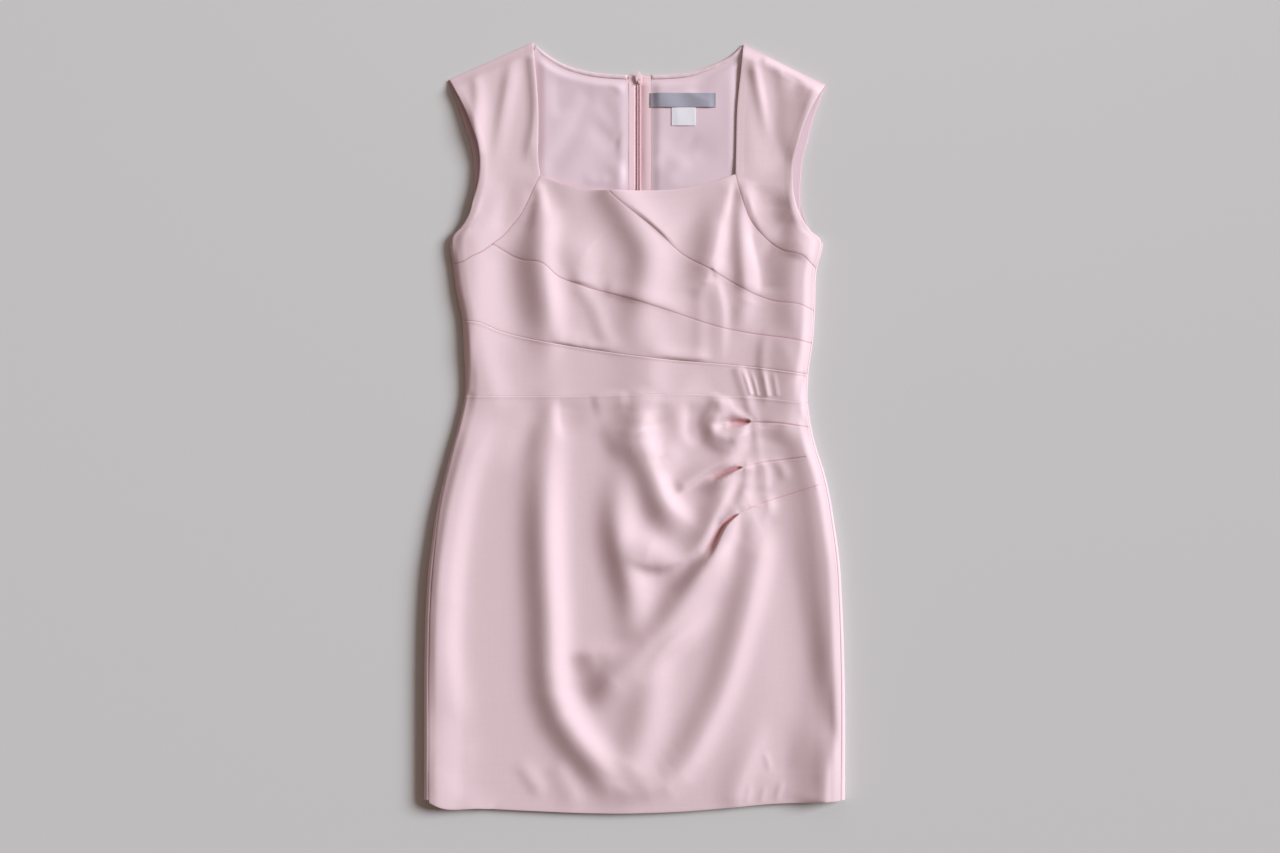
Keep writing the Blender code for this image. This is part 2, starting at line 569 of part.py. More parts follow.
def unrolled_end(side, y):
    """x of the back's edge if its curl were laid out flat."""
    arc = along_side(ROLL_RADIUS, side, y) * (curl_end(side, y) + math.pi / 2)
    return flat_end(side, y) + side * arc


def curled(grid, side):
    """The back's lower and upper faces, its flat grid curled up along the side."""
    x, y = grid[..., 0], grid[..., 1]
    radius = along_side(ROLL_RADIUS, side, y)
    start = flat_end(side, y)
    turn = np.maximum(side * (x - start), 0.0) / radius
    faces = []
    for inset in (0.0, WALL):
        r = radius - inset
        across = np.where(turn > 0.0, start + side * r * np.sin(turn), x)
        faces.append(np.stack([across, y, radius - r * np.cos(turn)], axis=-1))
    return faces


def back_panel(name, side, bottom, top, rows, low, high, made_of):
    """Half of the back between its centre seam and its curled side."""
    centre = np.stack([np.full(rows + 1, CENTRE_BACK),
                       np.linspace(bottom[0][1], top[0][1], rows + 1)], axis=-1)
    ys = np.linspace(low, high, rows + 1)
    edge = np.stack([unrolled_end(side, ys), ys], axis=-1)
    left, right = (edge, centre) if side == RIGHT else (centre, edge)
    if side == RIGHT:
        bottom, top = bottom[::-1], top[::-1]
    grid = drawn_in(patch(bottom, top, left, right), SEAM_GAP / 2)
    lower, upper = curled(grid, side)
    middle = (upper[:-1, :-1, 2] + upper[1:, 1:, 2]) / 2
    return wall(name, upper, lower, middle, made_of)


def joined(first, second):
    return np.concatenate([first, second[1:]])


def front_columns():
    """The front's seams at stations that the panels above and below each seam share."""
    roll = ROLL_STATIONS
    yoke_low = seam(YOKE_RIGHT_LOW, "yoke")
    yoke_high = seam(YOKE_RIGHT_HIGH)
    yoke_left = seam(YOKE_LEFT, "yoke")
    neck = seam(NECK_RIGHT)
    bust = seam(BUST_SEAM, "bust")
    low_part = stations(yoke_low.length, roll, between=1)
    neck_part = stations(neck.length, between=COLUMNS_NECK_RIGHT)
    bust_part = stations(bust.length, end=roll, between=COLUMNS_BUST_SEAM)
    lines = {
        "yoke_right": joined(yoke_low.at(low_part),
                             yoke_high.at(stations(yoke_high.length,
                                                   between=COLUMNS_YOKE_HIGH))),
        "yoke_left": yoke_left.at(stations(yoke_left.length, end=roll,
                                           between=COLUMNS_BUST_SEAM)),
        "yoke_low": yoke_low.at(low_part),
        "neck_right": neck.at(neck_part),
        "bust": bust.at(bust_part),
    }
    midriff = seam(MIDRIFF_SEAM, "midriff")
    inner = stations(midriff.length * (1.0 - NECK_SHARE), end=roll, between=COLUMNS_BUST_SEAM)
    shares = joined(neck_part * NECK_SHARE, NECK_SHARE + inner * (1.0 - NECK_SHARE))
    lines["midriff"] = midriff.at(shares)
    for name, points in (("low", LOW_SEAM), ("waist", WAIST_SEAM), ("hem", FRONT_HEM)):
        curve = seam(points, name)
        first = stations(curve.length * LOW_SHARE, roll, between=1) * LOW_SHARE
        length = curve.length * (1.0 - LOW_SHARE)
        corner = LOW_SHARE + NECK_SHARE * (1.0 - LOW_SHARE)
        second = LOW_SHARE + neck_part * (corner - LOW_SHARE)
        last = stations(length * (1.0 - NECK_SHARE), end=roll, between=COLUMNS_BUST_SEAM)
        lines[name] = curve.at(joined(joined(first, second), corner + last * (1.0 - corner)))
    return lines


def front_panels(crepe):
    """The seven pieces of the front."""
    lines = front_columns()
    grids = {}
    for side, yoke in ((RIGHT, "yoke_right"), (LEFT, "yoke_left")):
        bottom = lines[yoke]
        tip, neck = SHOULDER[side]
        outside = side_rows(side, SIDE_END["yoke"][side == LEFT], tip[1], ROWS["yoke"])
        strap = Curve(STRAP_NECK[side]).at(np.linspace(0.0, 1.0, ROWS["yoke"] + 1))
        shares = shares_of(bottom)[:, None]
        ends = (outside[-1], np.array(neck)) if side == RIGHT else (np.array(neck), outside[-1])
        top = (1.0 - shares) * ends[0] + shares * ends[1]
        left, right = (outside, strap) if side == RIGHT else (strap, outside)
        grids["front_" + yoke] = patch(bottom, top, left, right)
    rows = ROWS["bust_upper"]
    grids["front_bust_upper"] = patch(
        lines["bust"], lines["yoke_left"],
        seam(NECK_LEFT).at(np.linspace(0.0, 1.0, rows + 1)),
        side_rows(LEFT, SIDE_END["bust"][1], SIDE_END["yoke"][1], rows))
    rows = ROWS["bust_main"]
    grids["front_bust_main"] = patch(
        lines["midriff"], joined(lines["neck_right"], lines["bust"]),
        seam(YOKE_RIGHT_HIGH).at(np.linspace(0.0, 1.0, rows + 1)),
        side_rows(LEFT, SIDE_END["midriff"][1], SIDE_END["bust"][1], rows))
    rows = ROWS["midriff"]
    grids["front_midriff_upper"] = patch(
        lines["low"], joined(lines["yoke_low"], lines["midriff"]),
        side_rows(RIGHT, SIDE_END["low"][0], SIDE_END["yoke"][0], rows),
        side_rows(LEFT, SIDE_END["low"][1], SIDE_END["midriff"][1], rows))
    for name, low, high in (("low", "waist", "low"), ("skirt", "hem", "waist")):
        rows = ROWS[name]
        node = "front_midriff_lower" if name == "low" else "front_skirt"
        grids[node] = patch(
            lines[low], lines[high],
            side_rows(RIGHT, SIDE_END[low][0], SIDE_END[high][0], rows),
            side_rows(LEFT, SIDE_END[low][1], SIDE_END[high][1], rows))
    for node, grid in grids.items():
        sheet(node, drawn_in(grid, SEAM_GAP / 2), front_height, WALL, crepe)


def back_panels(crepe):
    """The two halves of the back bodice and of the back skirt."""
    names = {RIGHT: "right", LEFT: "left"}
    for side in (RIGHT, LEFT):
        tip, neck_point = SHOULDER[side]
        neck = Curve(BACK_NECK[side])
        curve_part = neck.at(np.linspace(0.0, 1.0, BACK_COLUMNS_NECK + 1))
        tip_x = float(unrolled_end(side, tip[1]))
        shoulder = Curve((neck_point, (tip_x, tip[1])))
        shoulder_part = shoulder.at(stations(shoulder.length, end=CURL_STATIONS,
                                              between=BACK_COLUMNS_STRAP))
        waist_y = SIDE_END["waist"][side == LEFT] - WAIST_DROP_AT_SIDE
        waist_end = (float(unrolled_end(side, waist_y)), waist_y)
        top = joined(curve_part, shoulder_part)
        waist = Curve(((CENTRE_BACK, BACK_WAIST), waist_end))
        columns = stations(waist.length, end=CURL_STATIONS,
                           between=BACK_COLUMNS_NECK + BACK_COLUMNS_STRAP)
        back_panel("back_bodice_" + names[side], side, waist.at(columns), top,
                   BACK_ROWS_BODICE, waist_y, tip[1], crepe)
        columns = stations(waist.length, end=CURL_STATIONS, between=BACK_COLUMNS_SKIRT)
        hem_y = BACK_HEM_AT_SIDE[side]
        hem_end = (float(unrolled_end(side, hem_y)), hem_y)
        hem = Curve(BACK_HEM[side][:-1] + (hem_end,))
        hem_columns = stations(hem.length, end=CURL_STATIONS, between=BACK_COLUMNS_SKIRT)
        back_panel("back_skirt_" + names[side], side, hem.at(hem_columns), waist.at(columns),
                   BACK_ROWS_SKIRT, hem_y, waist_y, crepe)


def back_linings(satin):
    """The lining of the back, down to a little below the front's neck edge."""
    names = {RIGHT: "right", LEFT: "left"}
    for side in (RIGHT, LEFT):
        tip, neck_point = (np.array(end, float) for end in SHOULDER[side])
        ys = np.linspace(LINING_BOTTOM, tip[1] - LINING_SHOULDER_INSET, LINING_ROWS + 1)
        clear_of_curl = along_side(ROLL_RADIUS, side, UNDERARM) * (
            1.0 - smooth((ys - LINING_BOTTOM) / (CURL_FADE / 2)))
        outside = np.stack(
            [edge_x(side, ys) - side * (LINING_ARMHOLE_INSET + clear_of_curl), ys], axis=-1)
        neck = Curve(BACK_NECK[side]).at(np.linspace(0.0, 1.0, LINING_NECK_POINTS))
        neck = neck[side * (neck[:, 0] - LINING_CENTRE[side]) >= 0.0]
        neck = neck - [0.0, LINING_NECK_INSET]
        start = np.array([[LINING_CENTRE[side], np.interp(
            side * LINING_CENTRE[side], side * neck[:, 0], neck[:, 1])]])
        neck = np.concatenate([start, neck[neck[:, 1] < neck_point[1] - LINING_SHOULDER_INSET]])
        curve = Curve(neck).at(np.linspace(0.0, 1.0, LINING_COLUMNS // 2 + 1))
        strap = np.linspace(curve[-1], outside[-1], LINING_COLUMNS // 2 + 1)
        strap[:, 1] = np.minimum(strap[:, 1], neck_point[1] - LINING_SHOULDER_INSET)
        top = joined(curve, strap)
        bottom = np.stack([np.linspace(LINING_CENTRE[side], outside[0, 0], len(top)),
                           np.full(len(top), LINING_BOTTOM)], axis=-1)
        centre = np.stack([np.full(LINING_ROWS + 1, LINING_CENTRE[side]),
                           np.linspace(LINING_BOTTOM, top[0, 1], LINING_ROWS + 1)], axis=-1)
        left, right = (outside, centre) if side == RIGHT else (centre, outside)
        if side == RIGHT:
            bottom, top = bottom[::-1], top[::-1]
        grid = patch(bottom, top, left, right)
        sheet("back_lining_" + names[side], grid, lining_height, LINING_WALL, satin)


def prism(name, first, last, made_of):
    """A closed bar between two like outlines, each against the clock seen from the last one."""
    count = len(first)
    faces = [tuple(range(count))[::-1], tuple(range(count, 2 * count))]
    for i in range(count):
        j = (i + 1) % count
        faces.append((i, j, j + count, i + count))
    return add_object(name, list(first) + list(last), faces, made_of)


def plate(name, outline, low, high, made_of):
    """A plate of constant height."""
    return prism(name, *([(x, y, z) for x, y in outline] for z in (low, high)), made_of)


def add_zip(tape, coil, metal):
    """The two tapes, the closed coil, the slider at its top and the pull tab on the slider."""
    for side, name in ((RIGHT, "right"), (LEFT, "left")):
        low, high = TAPE[side]
        corners = ((low, TAPE_LOW), (high, TAPE_LOW), (high, TAPE_HIGH), (low, TAPE_HIGH))
        plate("zip_tape_" + name, corners, TAPE_Z, TAPE_Z + TAPE_WALL, tape)
    prism("zip_coil", *([(CENTRE_BACK + x, y, COIL_Z + z) for x, z in COIL_PROFILE]
                        for y in (COIL_LOW, COIL_HIGH)), coil)

    outline = [(CENTRE_BACK + x, y) for x, y in SLIDER_OUTLINE]
    slider = plate("zip_slider", outline, SLIDER_LOW, SLIDER_HIGH, metal)
    bail = add_bail(metal)
    union = slider.modifiers.new("bail", "BOOLEAN")
    union.operation = "UNION"
    union.solver = "EXACT"
    union.object = bail

    count = len(TAB_OUTLINE)
    rings = []
    for z in (-TAB_HALF_WALL, TAB_HALF_WALL):
        rings.append([(x, y, z) for x, y in TAB_OUTLINE])
        rings.append([(x, y, z) for x, y in TAB_WINDOW])
    faces = []
    for i in range(count):
        j = (i + 1) % count
        out_low, in_low, out_high, in_high = (k * count for k in range(4))
        faces.append((out_low + j, out_low + i, in_low + i, in_low + j))
        faces.append((out_high + i, out_high + j, in_high + j, in_high + i))
        faces.append((out_low + i, out_low + j, out_high + j, out_high + i))
        faces.append((in_low + j, in_low + i, in_high + i, in_high + j))
    hinge = np.array([CENTRE_BACK, HINGE_Y, HINGE_Z])
    vertices = np.concatenate(rings) + hinge
    add_object("zip_pull_tab", vertices, faces, metal, origin=hinge)


def add_bail(metal):
    """The arch that holds the pull tab, joined to the slider."""
    foot = SLIDER_HIGH - BAIL_FOOT - HINGE_Z
    arch = (
        (-BAIL_OUTER, foot), (-BAIL_INNER, foot), (-BAIL_INNER, BAIL_INNER),
        (BAIL_INNER, BAIL_INNER), (BAIL_INNER, foot), (BAIL_OUTER, foot),
        (BAIL_OUTER, BAIL_INNER), (BAIL_INNER, BAIL_OUTER), (-BAIL_INNER, BAIL_OUTER),
        (-BAIL_OUTER, BAIL_INNER),
    )
    bail = prism("bail_form", *([(CENTRE_BACK + x, HINGE_Y + y, HINGE_Z + z) for y, z in arch]
                                for x in (-BAIL_HALF_WIDTH, BAIL_HALF_WIDTH)), metal)
    bail.hide_render = True
    bail.display_type = "WIRE"
    return bail


def add_label(name, label, made_of):
    """A ribbon label lying on the lining."""
    xs = np.linspace(label.x_low, label.x_high, label.columns + 1)
    ys = np.linspace(label.y_low, label.y_high, label.rows + 1)
    grid = np.stack(np.meshgrid(xs, ys), axis=-1)
    sheet(name, grid, lining_height, label.wall, made_of, lift=SEAM_GAP + label.wall)


def main():
    for obj in list(bpy.data.objects):
        bpy.data.objects.remove(obj)
    crepe = material(CREPE)
    front_panels(crepe)
    back_panels(crepe)
    back_linings(material(SATIN))
    add_zip(material(TAPE_WEAVE), material(COIL_NYLON), material(METAL))
    add_label("neck_label", NECK_LABEL, material(GREY_RIBBON))
    add_label("care_label", CARE_LABEL, material(WHITE_RIBBON))


main()
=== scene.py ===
"""Visible model of a sleeveless sheath dress that lies flat on its back on a floor.

Lengths in the tables are millimetres and every mesh is in metres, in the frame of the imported
solids: X runs to the wearer's left, Y to the neck and Z up from the floor. The front is one relief
that all its panels share. The back lies flat and curls up at the sides to meet it.
"""

import logging
import math
from dataclasses import dataclass
from enum import Enum
from functools import cached_property
from typing import Any, Callable, Sequence

import bmesh
import bpy
import numpy as np
from mathutils import Matrix, Vector


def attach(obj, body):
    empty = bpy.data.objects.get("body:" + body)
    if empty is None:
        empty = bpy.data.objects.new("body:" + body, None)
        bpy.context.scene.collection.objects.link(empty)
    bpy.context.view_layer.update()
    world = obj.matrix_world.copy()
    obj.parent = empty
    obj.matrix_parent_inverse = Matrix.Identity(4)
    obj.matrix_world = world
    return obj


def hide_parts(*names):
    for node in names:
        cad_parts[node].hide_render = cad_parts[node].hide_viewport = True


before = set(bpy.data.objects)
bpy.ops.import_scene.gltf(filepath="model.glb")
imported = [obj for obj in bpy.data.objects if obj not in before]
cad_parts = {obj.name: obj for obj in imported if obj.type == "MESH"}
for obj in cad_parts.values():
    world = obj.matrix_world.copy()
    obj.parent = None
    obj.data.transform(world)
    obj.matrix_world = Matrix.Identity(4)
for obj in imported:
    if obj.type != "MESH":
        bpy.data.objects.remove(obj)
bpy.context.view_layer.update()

LOG = logging.getLogger("dress")
MM = 0.001
RIM_ANGLE = math.radians(62)  # a cloth's rim turns by more than this, its folds by less
SHARP_ANGLE = math.radians(30)  # edges of hard parts sharper than this are rounded

Points = np.ndarray
Rows = Sequence[Sequence[float]]
Surface = Callable[[Points], Points]


class Side(Enum):
    """A side of the dress as worn, and the sign of X on which it lies."""

    RIGHT = -1
    LEFT = 1


class Edge(Enum):
    """How an edge of a cut piece is finished."""

    SEAM = "sewn to its neighbour"
    LIP = "sewn to its neighbour and standing a little higher than it"
    LEVEL = "sewn to a neighbour that stands a little higher"
    SIDE = "sewn to the back at the rolled side"
    TURNED = "folded over a facing, as at the neck and armholes"
    HEM = "turned up and blind stitched"


# ---------------------------------------------------------------- plane curves and grids


def smooth(share: Points) -> Points:
    """A soft step from 0 to 1."""
    share = np.clip(share, 0.0, 1.0)
    return share * share * (3.0 - 2.0 * share)


def stroke(away: Points, height: float, centre: float | Points,
           width: float | Points) -> Points:
    """A soft ridge, or a groove where its height is below 0, across a distance.

    Args:
        away: distances from a line.
        height: the ridge's height.
        centre: the distance at which its crest lies.
        width: how wide it is on either side.

    Returns:
        One height for each distance.
    """
    return height * np.exp(-((away - centre) / width) ** 2)


class Curve:
    """A smooth plane curve through its points, read by its share of length from 0 to 1."""

    def __init__(self, points: Rows) -> None:
        """Keeps the points with a tangent at each.

        Args:
            points: the plane points that the curve passes through, in order.
        """
        self.points = np.asarray(points, float)
        steps = np.linalg.norm(np.diff(self.points, axis=0), axis=1)
        self.length = float(steps.sum())
        self.shares = np.concatenate([[0.0], np.cumsum(steps)]) / self.length
        gaps = np.diff(self.shares)[:, None]
        slopes = np.diff(self.points, axis=0) / gaps
        self.tangents = np.empty_like(self.points)
        self.tangents[0], self.tangents[-1] = slopes[0], slopes[-1]
        self.tangents[1:-1] = (slopes[:-1] * gaps[1:] + slopes[1:] * gaps[:-1]) / (
            gaps[1:] + gaps[:-1])

    def at(self, shares: Points) -> Points:
        """Points at the given shares of the length.

        Args:
            shares: shares of the length, from 0 to 1.

        Returns:
            One plane point for each share.
        """
        shares = np.clip(np.asarray(shares, float), 0.0, 1.0)
        i = np.clip(np.searchsorted(self.shares, shares, side="right") - 1,
                    0, len(self.shares) - 2)
        gap = (self.shares[i + 1] - self.shares[i])[..., None]
        s = (shares - self.shares[i])[..., None] / gap
        return ((2 * s**3 - 3 * s**2 + 1) * self.points[i]
                + (s**3 - 2 * s**2 + s) * gap * self.tangents[i]
                + (3 * s**2 - 2 * s**3) * self.points[i + 1]
                + (s**3 - s**2) * gap * self.tangents[i + 1])

    def line(self, step: float = 2.0) -> Points:
        """The curve as a polyline of short steps."""
        return self.at(np.linspace(0.0, 1.0, max(2, int(self.length / step) + 1)))


def joined(*lines: Points) -> Points:
    """One polyline from several that meet end to start."""
    return np.concatenate([lines[0], *(line[1:] for line in lines[1:])])


def spaced(line: Points, shares: Points) -> Points:
    """Points at shares of a polyline's length."""
    run = np.concatenate([[0.0], np.cumsum(np.linalg.norm(np.diff(line, axis=0), axis=1))])
    return np.stack([np.interp(shares * run[-1], run, line[:, k]) for k in (0, 1)], axis=-1)


def length_of(line: Points) -> float:
    """The polyline's length."""
    return float(np.linalg.norm(np.diff(line, axis=0), axis=1).sum())


def stations(length: float, start: Sequence[float], end: Sequence[float],
             spacing: float) -> Points:
    """Shares along an edge, close together at its ends.

    Args:
        length: the edge's length.
        start: distances of the first stations from its start.
        end: distances of the last stations from its end.
        spacing: the step between the others.

    Returns:
        Rising shares from 0 to 1.
    """
    low, high = start[-1], length - end[-1]
    if high - low < spacing:
        return np.linspace(0.0, 1.0, len(start) + len(end))
    between = np.linspace(low, high, max(2, round((high - low) / spacing) + 1))[1:-1]
    distances = [*start, *between, *(length - d for d in end)]
    return np.sort(np.array(distances)) / length


def slant(edge: Points, first: Points, last: Points, most: float = 4.5) -> float:
    """How much longer a step along the neighbouring edges is than its distance from an edge.

    Args:
        edge: the edge, as a polyline.
        first: the neighbouring edge that it starts on, from their corner.
        last: the neighbouring edge that it ends on, from their corner.
        most: the largest answer.

    Returns:
        A factor of 1 or more.
    """
    factor = 1.0
    for along, beside in ((edge[1] - edge[0], first[1] - first[0]),
                          (edge[-2] - edge[-1], last[1] - last[0])):
        sine = abs(along[0] * beside[1] - along[1] * beside[0])
        factor = max(factor, np.linalg.norm(along) * np.linalg.norm(beside) / max(sine, 1e-6))
    return float(min(factor, most))


def filled(bottom: Points, top: Points, left: Points, right: Points, across: Points,
           up: Points) -> Points:
    """A grid of plane points between four edges.

    Args:
        bottom: polyline from the left corner to the right one.
        top: the same at the top.
        left: polyline from the bottom corner to the top one.
        right: the same at the right.
        across: shares at which the grid's columns stand.
        up: shares at which its rows stand.

    Returns:
        The grid, row by row from the bottom.
    """
    low, high = spaced(bottom, across), spaced(top, across)
    first, last = spaced(left, up), spaced(right, up)
    u, v = across[None, :, None], up[:, None, None]
    corners = ((1 - u) * (1 - v) * low[0] + u * (1 - v) * low[-1]
               + (1 - u) * v * high[0] + u * v * high[-1])
    return ((1 - v) * low[None] + v * high[None] + (1 - u) * first[:, None]
            + u * last[:, None] - corners)


def evened(grid: Points, across: Points, up: Points, reach: float, rise: float) -> Points:
    """Lays the cells of a grid's lower right corner evenly between the edges of that corner.

    Args:
        grid: rows of plane points from the bottom.
        across: distances at which its columns stand.
        up: distances at which its rows stand.
        reach: how far in from the right edge the corner goes.
        rise: how far up from the bottom it goes.

    Returns:
        The grid, with no cell of that corner folded over.
    """
    low, left = 2, int(np.searchsorted(across, across[-1] - reach))
    top = int(np.searchsorted(up, rise))
    wide, high = np.diff(across)[left:], np.diff(up)[low:top]
    block = grid[low:top + 1, left:].copy()
    rows, columns = block.shape[0] - 2, block.shape[1] - 2
    pull, known = np.zeros((rows * columns,) * 2), np.zeros((rows * columns, 2))
    for here, (row, column) in enumerate(np.ndindex(rows, columns)):
        over, along = high[row] + high[row + 1], wide[column] + wide[column + 1]
        for step, to_side, weight in ((0, -1, 1.0 / (wide[column] * along)),
                                      (0, 1, 1.0 / (wide[column + 1] * along)),
                                      (-1, 0, 1.0 / (high[row] * over)),
                                      (1, 0, 1.0 / (high[row + 1] * over))):
            pull[here, here] += weight
            i, j = row + step, column + to_side
            if 0 <= i < rows and 0 <= j < columns:
                pull[here, i * columns + j] -= weight
            else:
                known[here] += weight * block[i + 1, j + 1]
    out = grid.copy()
    out[low + 1:top, left + 1:-1] = np.linalg.solve(pull, known).reshape(rows, columns, 2)
    return out


def turned(vectors: Points) -> Points:
    """Each plane vector turned a quarter to its left, at unit length."""
    out = np.stack([-vectors[..., 1], vectors[..., 0]], axis=-1)
    return out / np.linalg.norm(out, axis=-1, keepdims=True)


def drawn_in(grid: Points, amount: float) -> Points:
    """The grid with its four edges moved inward, square to each edge.

    Args:
        grid: rows of plane points.
        amount: how far each edge moves.

    Returns:
        The new grid.
    """
    edges = ((grid[0], 1.0), (grid[-1], -1.0), (grid[:, 0], -1.0), (grid[:, -1], 1.0))
    low, high, left, right = (sign * turned(np.gradient(edge, axis=0)) for edge, sign in edges)
    moves = np.zeros_like(grid)
    moves[0, 1:-1], moves[-1, 1:-1] = low[1:-1], high[1:-1]
    moves[1:-1, 0], moves[1:-1, -1] = left[1:-1], right[1:-1]
    for row, column, a, b in ((0, 0, low[0], left[0]), (0, -1, low[-1], right[0]),
                              (-1, 0, high[0], left[-1]), (-1, -1, high[-1], right[-1])):
        moves[row, column] = (a + b) / (1.0 + a @ b)
    return grid + amount * moves


def nearest(points: Points, line: Points) -> tuple[Points, Points, Points]:
    """The nearest place on a polyline to each point.

    Args:
        points: plane points.
        line: the polyline.

    Returns:
        The distance, the share of the way along the line, and a number above 0 on its left.
    """
    away = np.full(len(points), np.inf)
    share, turn = np.zeros(len(points)), np.zeros(len(points))
    last = len(line) - 1
    for k in range(last):
        step = line[k + 1] - line[k]
        apart = points - line[k]
        s = np.clip(apart @ step / (step @ step), 0.0, 1.0)
        d = np.linalg.norm(apart - s[:, None] * step, axis=1)
        closer = d < away
        away[closer] = d[closer]
        share[closer] = (k + s[closer]) / last
        turn[closer] = (step[0] * apart[:, 1] - step[1] * apart[:, 0])[closer]
    return away, share, turn


# ---------------------------------------------------------------- the cloth's relief


@dataclass(frozen=True)
class Fold:
    """A soft ridge, or a valley where its height is below 0, along a crest line."""

    name: str
    height: float
    left: float  # width of the flank on the crest's left
    right: float
    rise: float  # share of the crest over which it grows from nothing
    fall: float
    crest: Rows

    def heights(self, points: Points) -> Points:
        """The height that the fold adds at each point.

        Args:
            points: plane points.

        Returns:
            One height for each.
        """
        reach = 3.0 * max(self.left, self.right)
        crest = Curve(self.crest).at(np.linspace(0.0, 1.0, 20))
        low, high = crest.min(0) - reach, crest.max(0) + reach
        inside = np.all((points > low) & (points < high), axis=-1)
        added = np.zeros(len(points))
        if inside.any():
            away, share, turn = nearest(points[inside], crest)
            width = np.where(turn > 0.0, self.left, self.right)
            ends = smooth(share / self.rise) * smooth((1.0 - share) / self.fall)
            added[inside] = ends * stroke(away, self.height, 0.0, width)
        return added


def folds(*rows: Sequence[Any]) -> tuple[Fold, ...]:
    """The folds of a table."""
    return tuple(Fold(*row) for row in rows)


@dataclass(frozen=True)
class Mouth:
    """The opening at a tuck's tip: a hollow, narrow and deep there, that widens as it fades."""

    name: str
    depth: float
    narrow: float  # how wide its upper flank is at the tip
    wide: float  # and where it ends
    lip: float  # how far the cloth stands up along its lower edge
    fade: float  # above 1 it fades sooner
    crest: Rows  # its deepest line, from the tip
    opens: float = 0.14  # share of the crest over which it deepens
    closes: float = 0.30  # and over which it ends
    around: float = 60.0  # how far from its middle it can reach

    def reach(self, points: Points) -> tuple[Points, Points]:
        """How far each point lies in the hollow and on its lip.

        Args:
            points: plane points.

        Returns:
            A share from 0 to 1 of the depth for each, and one of the lip's height.
        """
        away, share, turn = nearest(points, Curve(self.crest).line(2.0))
        width = self.narrow + (self.wide - self.narrow) * np.sqrt(share) * share ** 0.25
        ends = smooth(share / self.opens) * smooth((1.0 - share) / self.closes)
        depth = ends * (1.0 - share) ** self.fade
        flank = np.where(turn > 0.0, 0.35 * width + 0.5, width)
        edge = stroke(away, 1.0, 0.6 * width + 1.6, 0.3 * width + 1.0)
        return depth * stroke(away, 1.0, 0.0, flank), depth * edge * (turn > 0.0)

    def heights(self, points: Points) -> Points:
        """The height that the mouth adds at each point.

        Args:
            points: plane points.

        Returns:
            One height for each.
        """
        near = np.linalg.norm(points - np.mean(self.crest, axis=0), axis=1) < self.around
        added = np.zeros(len(points))
        if near.any():
            hollow, lip = self.reach(points[near])
            added[near] = self.lip * lip - self.depth * hollow
        return added


@dataclass(frozen=True)
class Tuck:
    """A tuck stitched down along a line: the cloth above the line lies folded, one step higher."""

    name: str
    step: float
    spread: float  # how far above the line the step fades
    line: Rows  # from the side seam to the tip, where the tuck opens
    soft: float = 0.9  # half the width over which the cloth steps up
    groove: tuple[float, float, float] = (-0.25, -0.4, 0.9)  # a stroke: height, centre, width
    lip: tuple[float, float, float] = (0.20, -2.4, 1.1)
    open_share: float = 0.10  # of the line, at its tip

    @cached_property
    def path(self) -> Points:
        """The stitched line as a polyline."""
        return Curve(self.line).line(3.0)

    def heights(self, points: Points) -> Points:
        """The step's height at each point.

        Args:
            points: plane points.

        Returns:
            One height for each.
        """
        away, share, turn = nearest(points, self.path)
        above = np.where(turn < 0.0, away, -away)
        step = stroke(np.maximum(above, 0.0), self.step, 0.0, self.spread) * smooth(
            (above + self.soft) / (2 * self.soft))
        return smooth((1.0 - share) / self.open_share) * (
            step + stroke(above, *self.groove) + stroke(above, *self.lip))


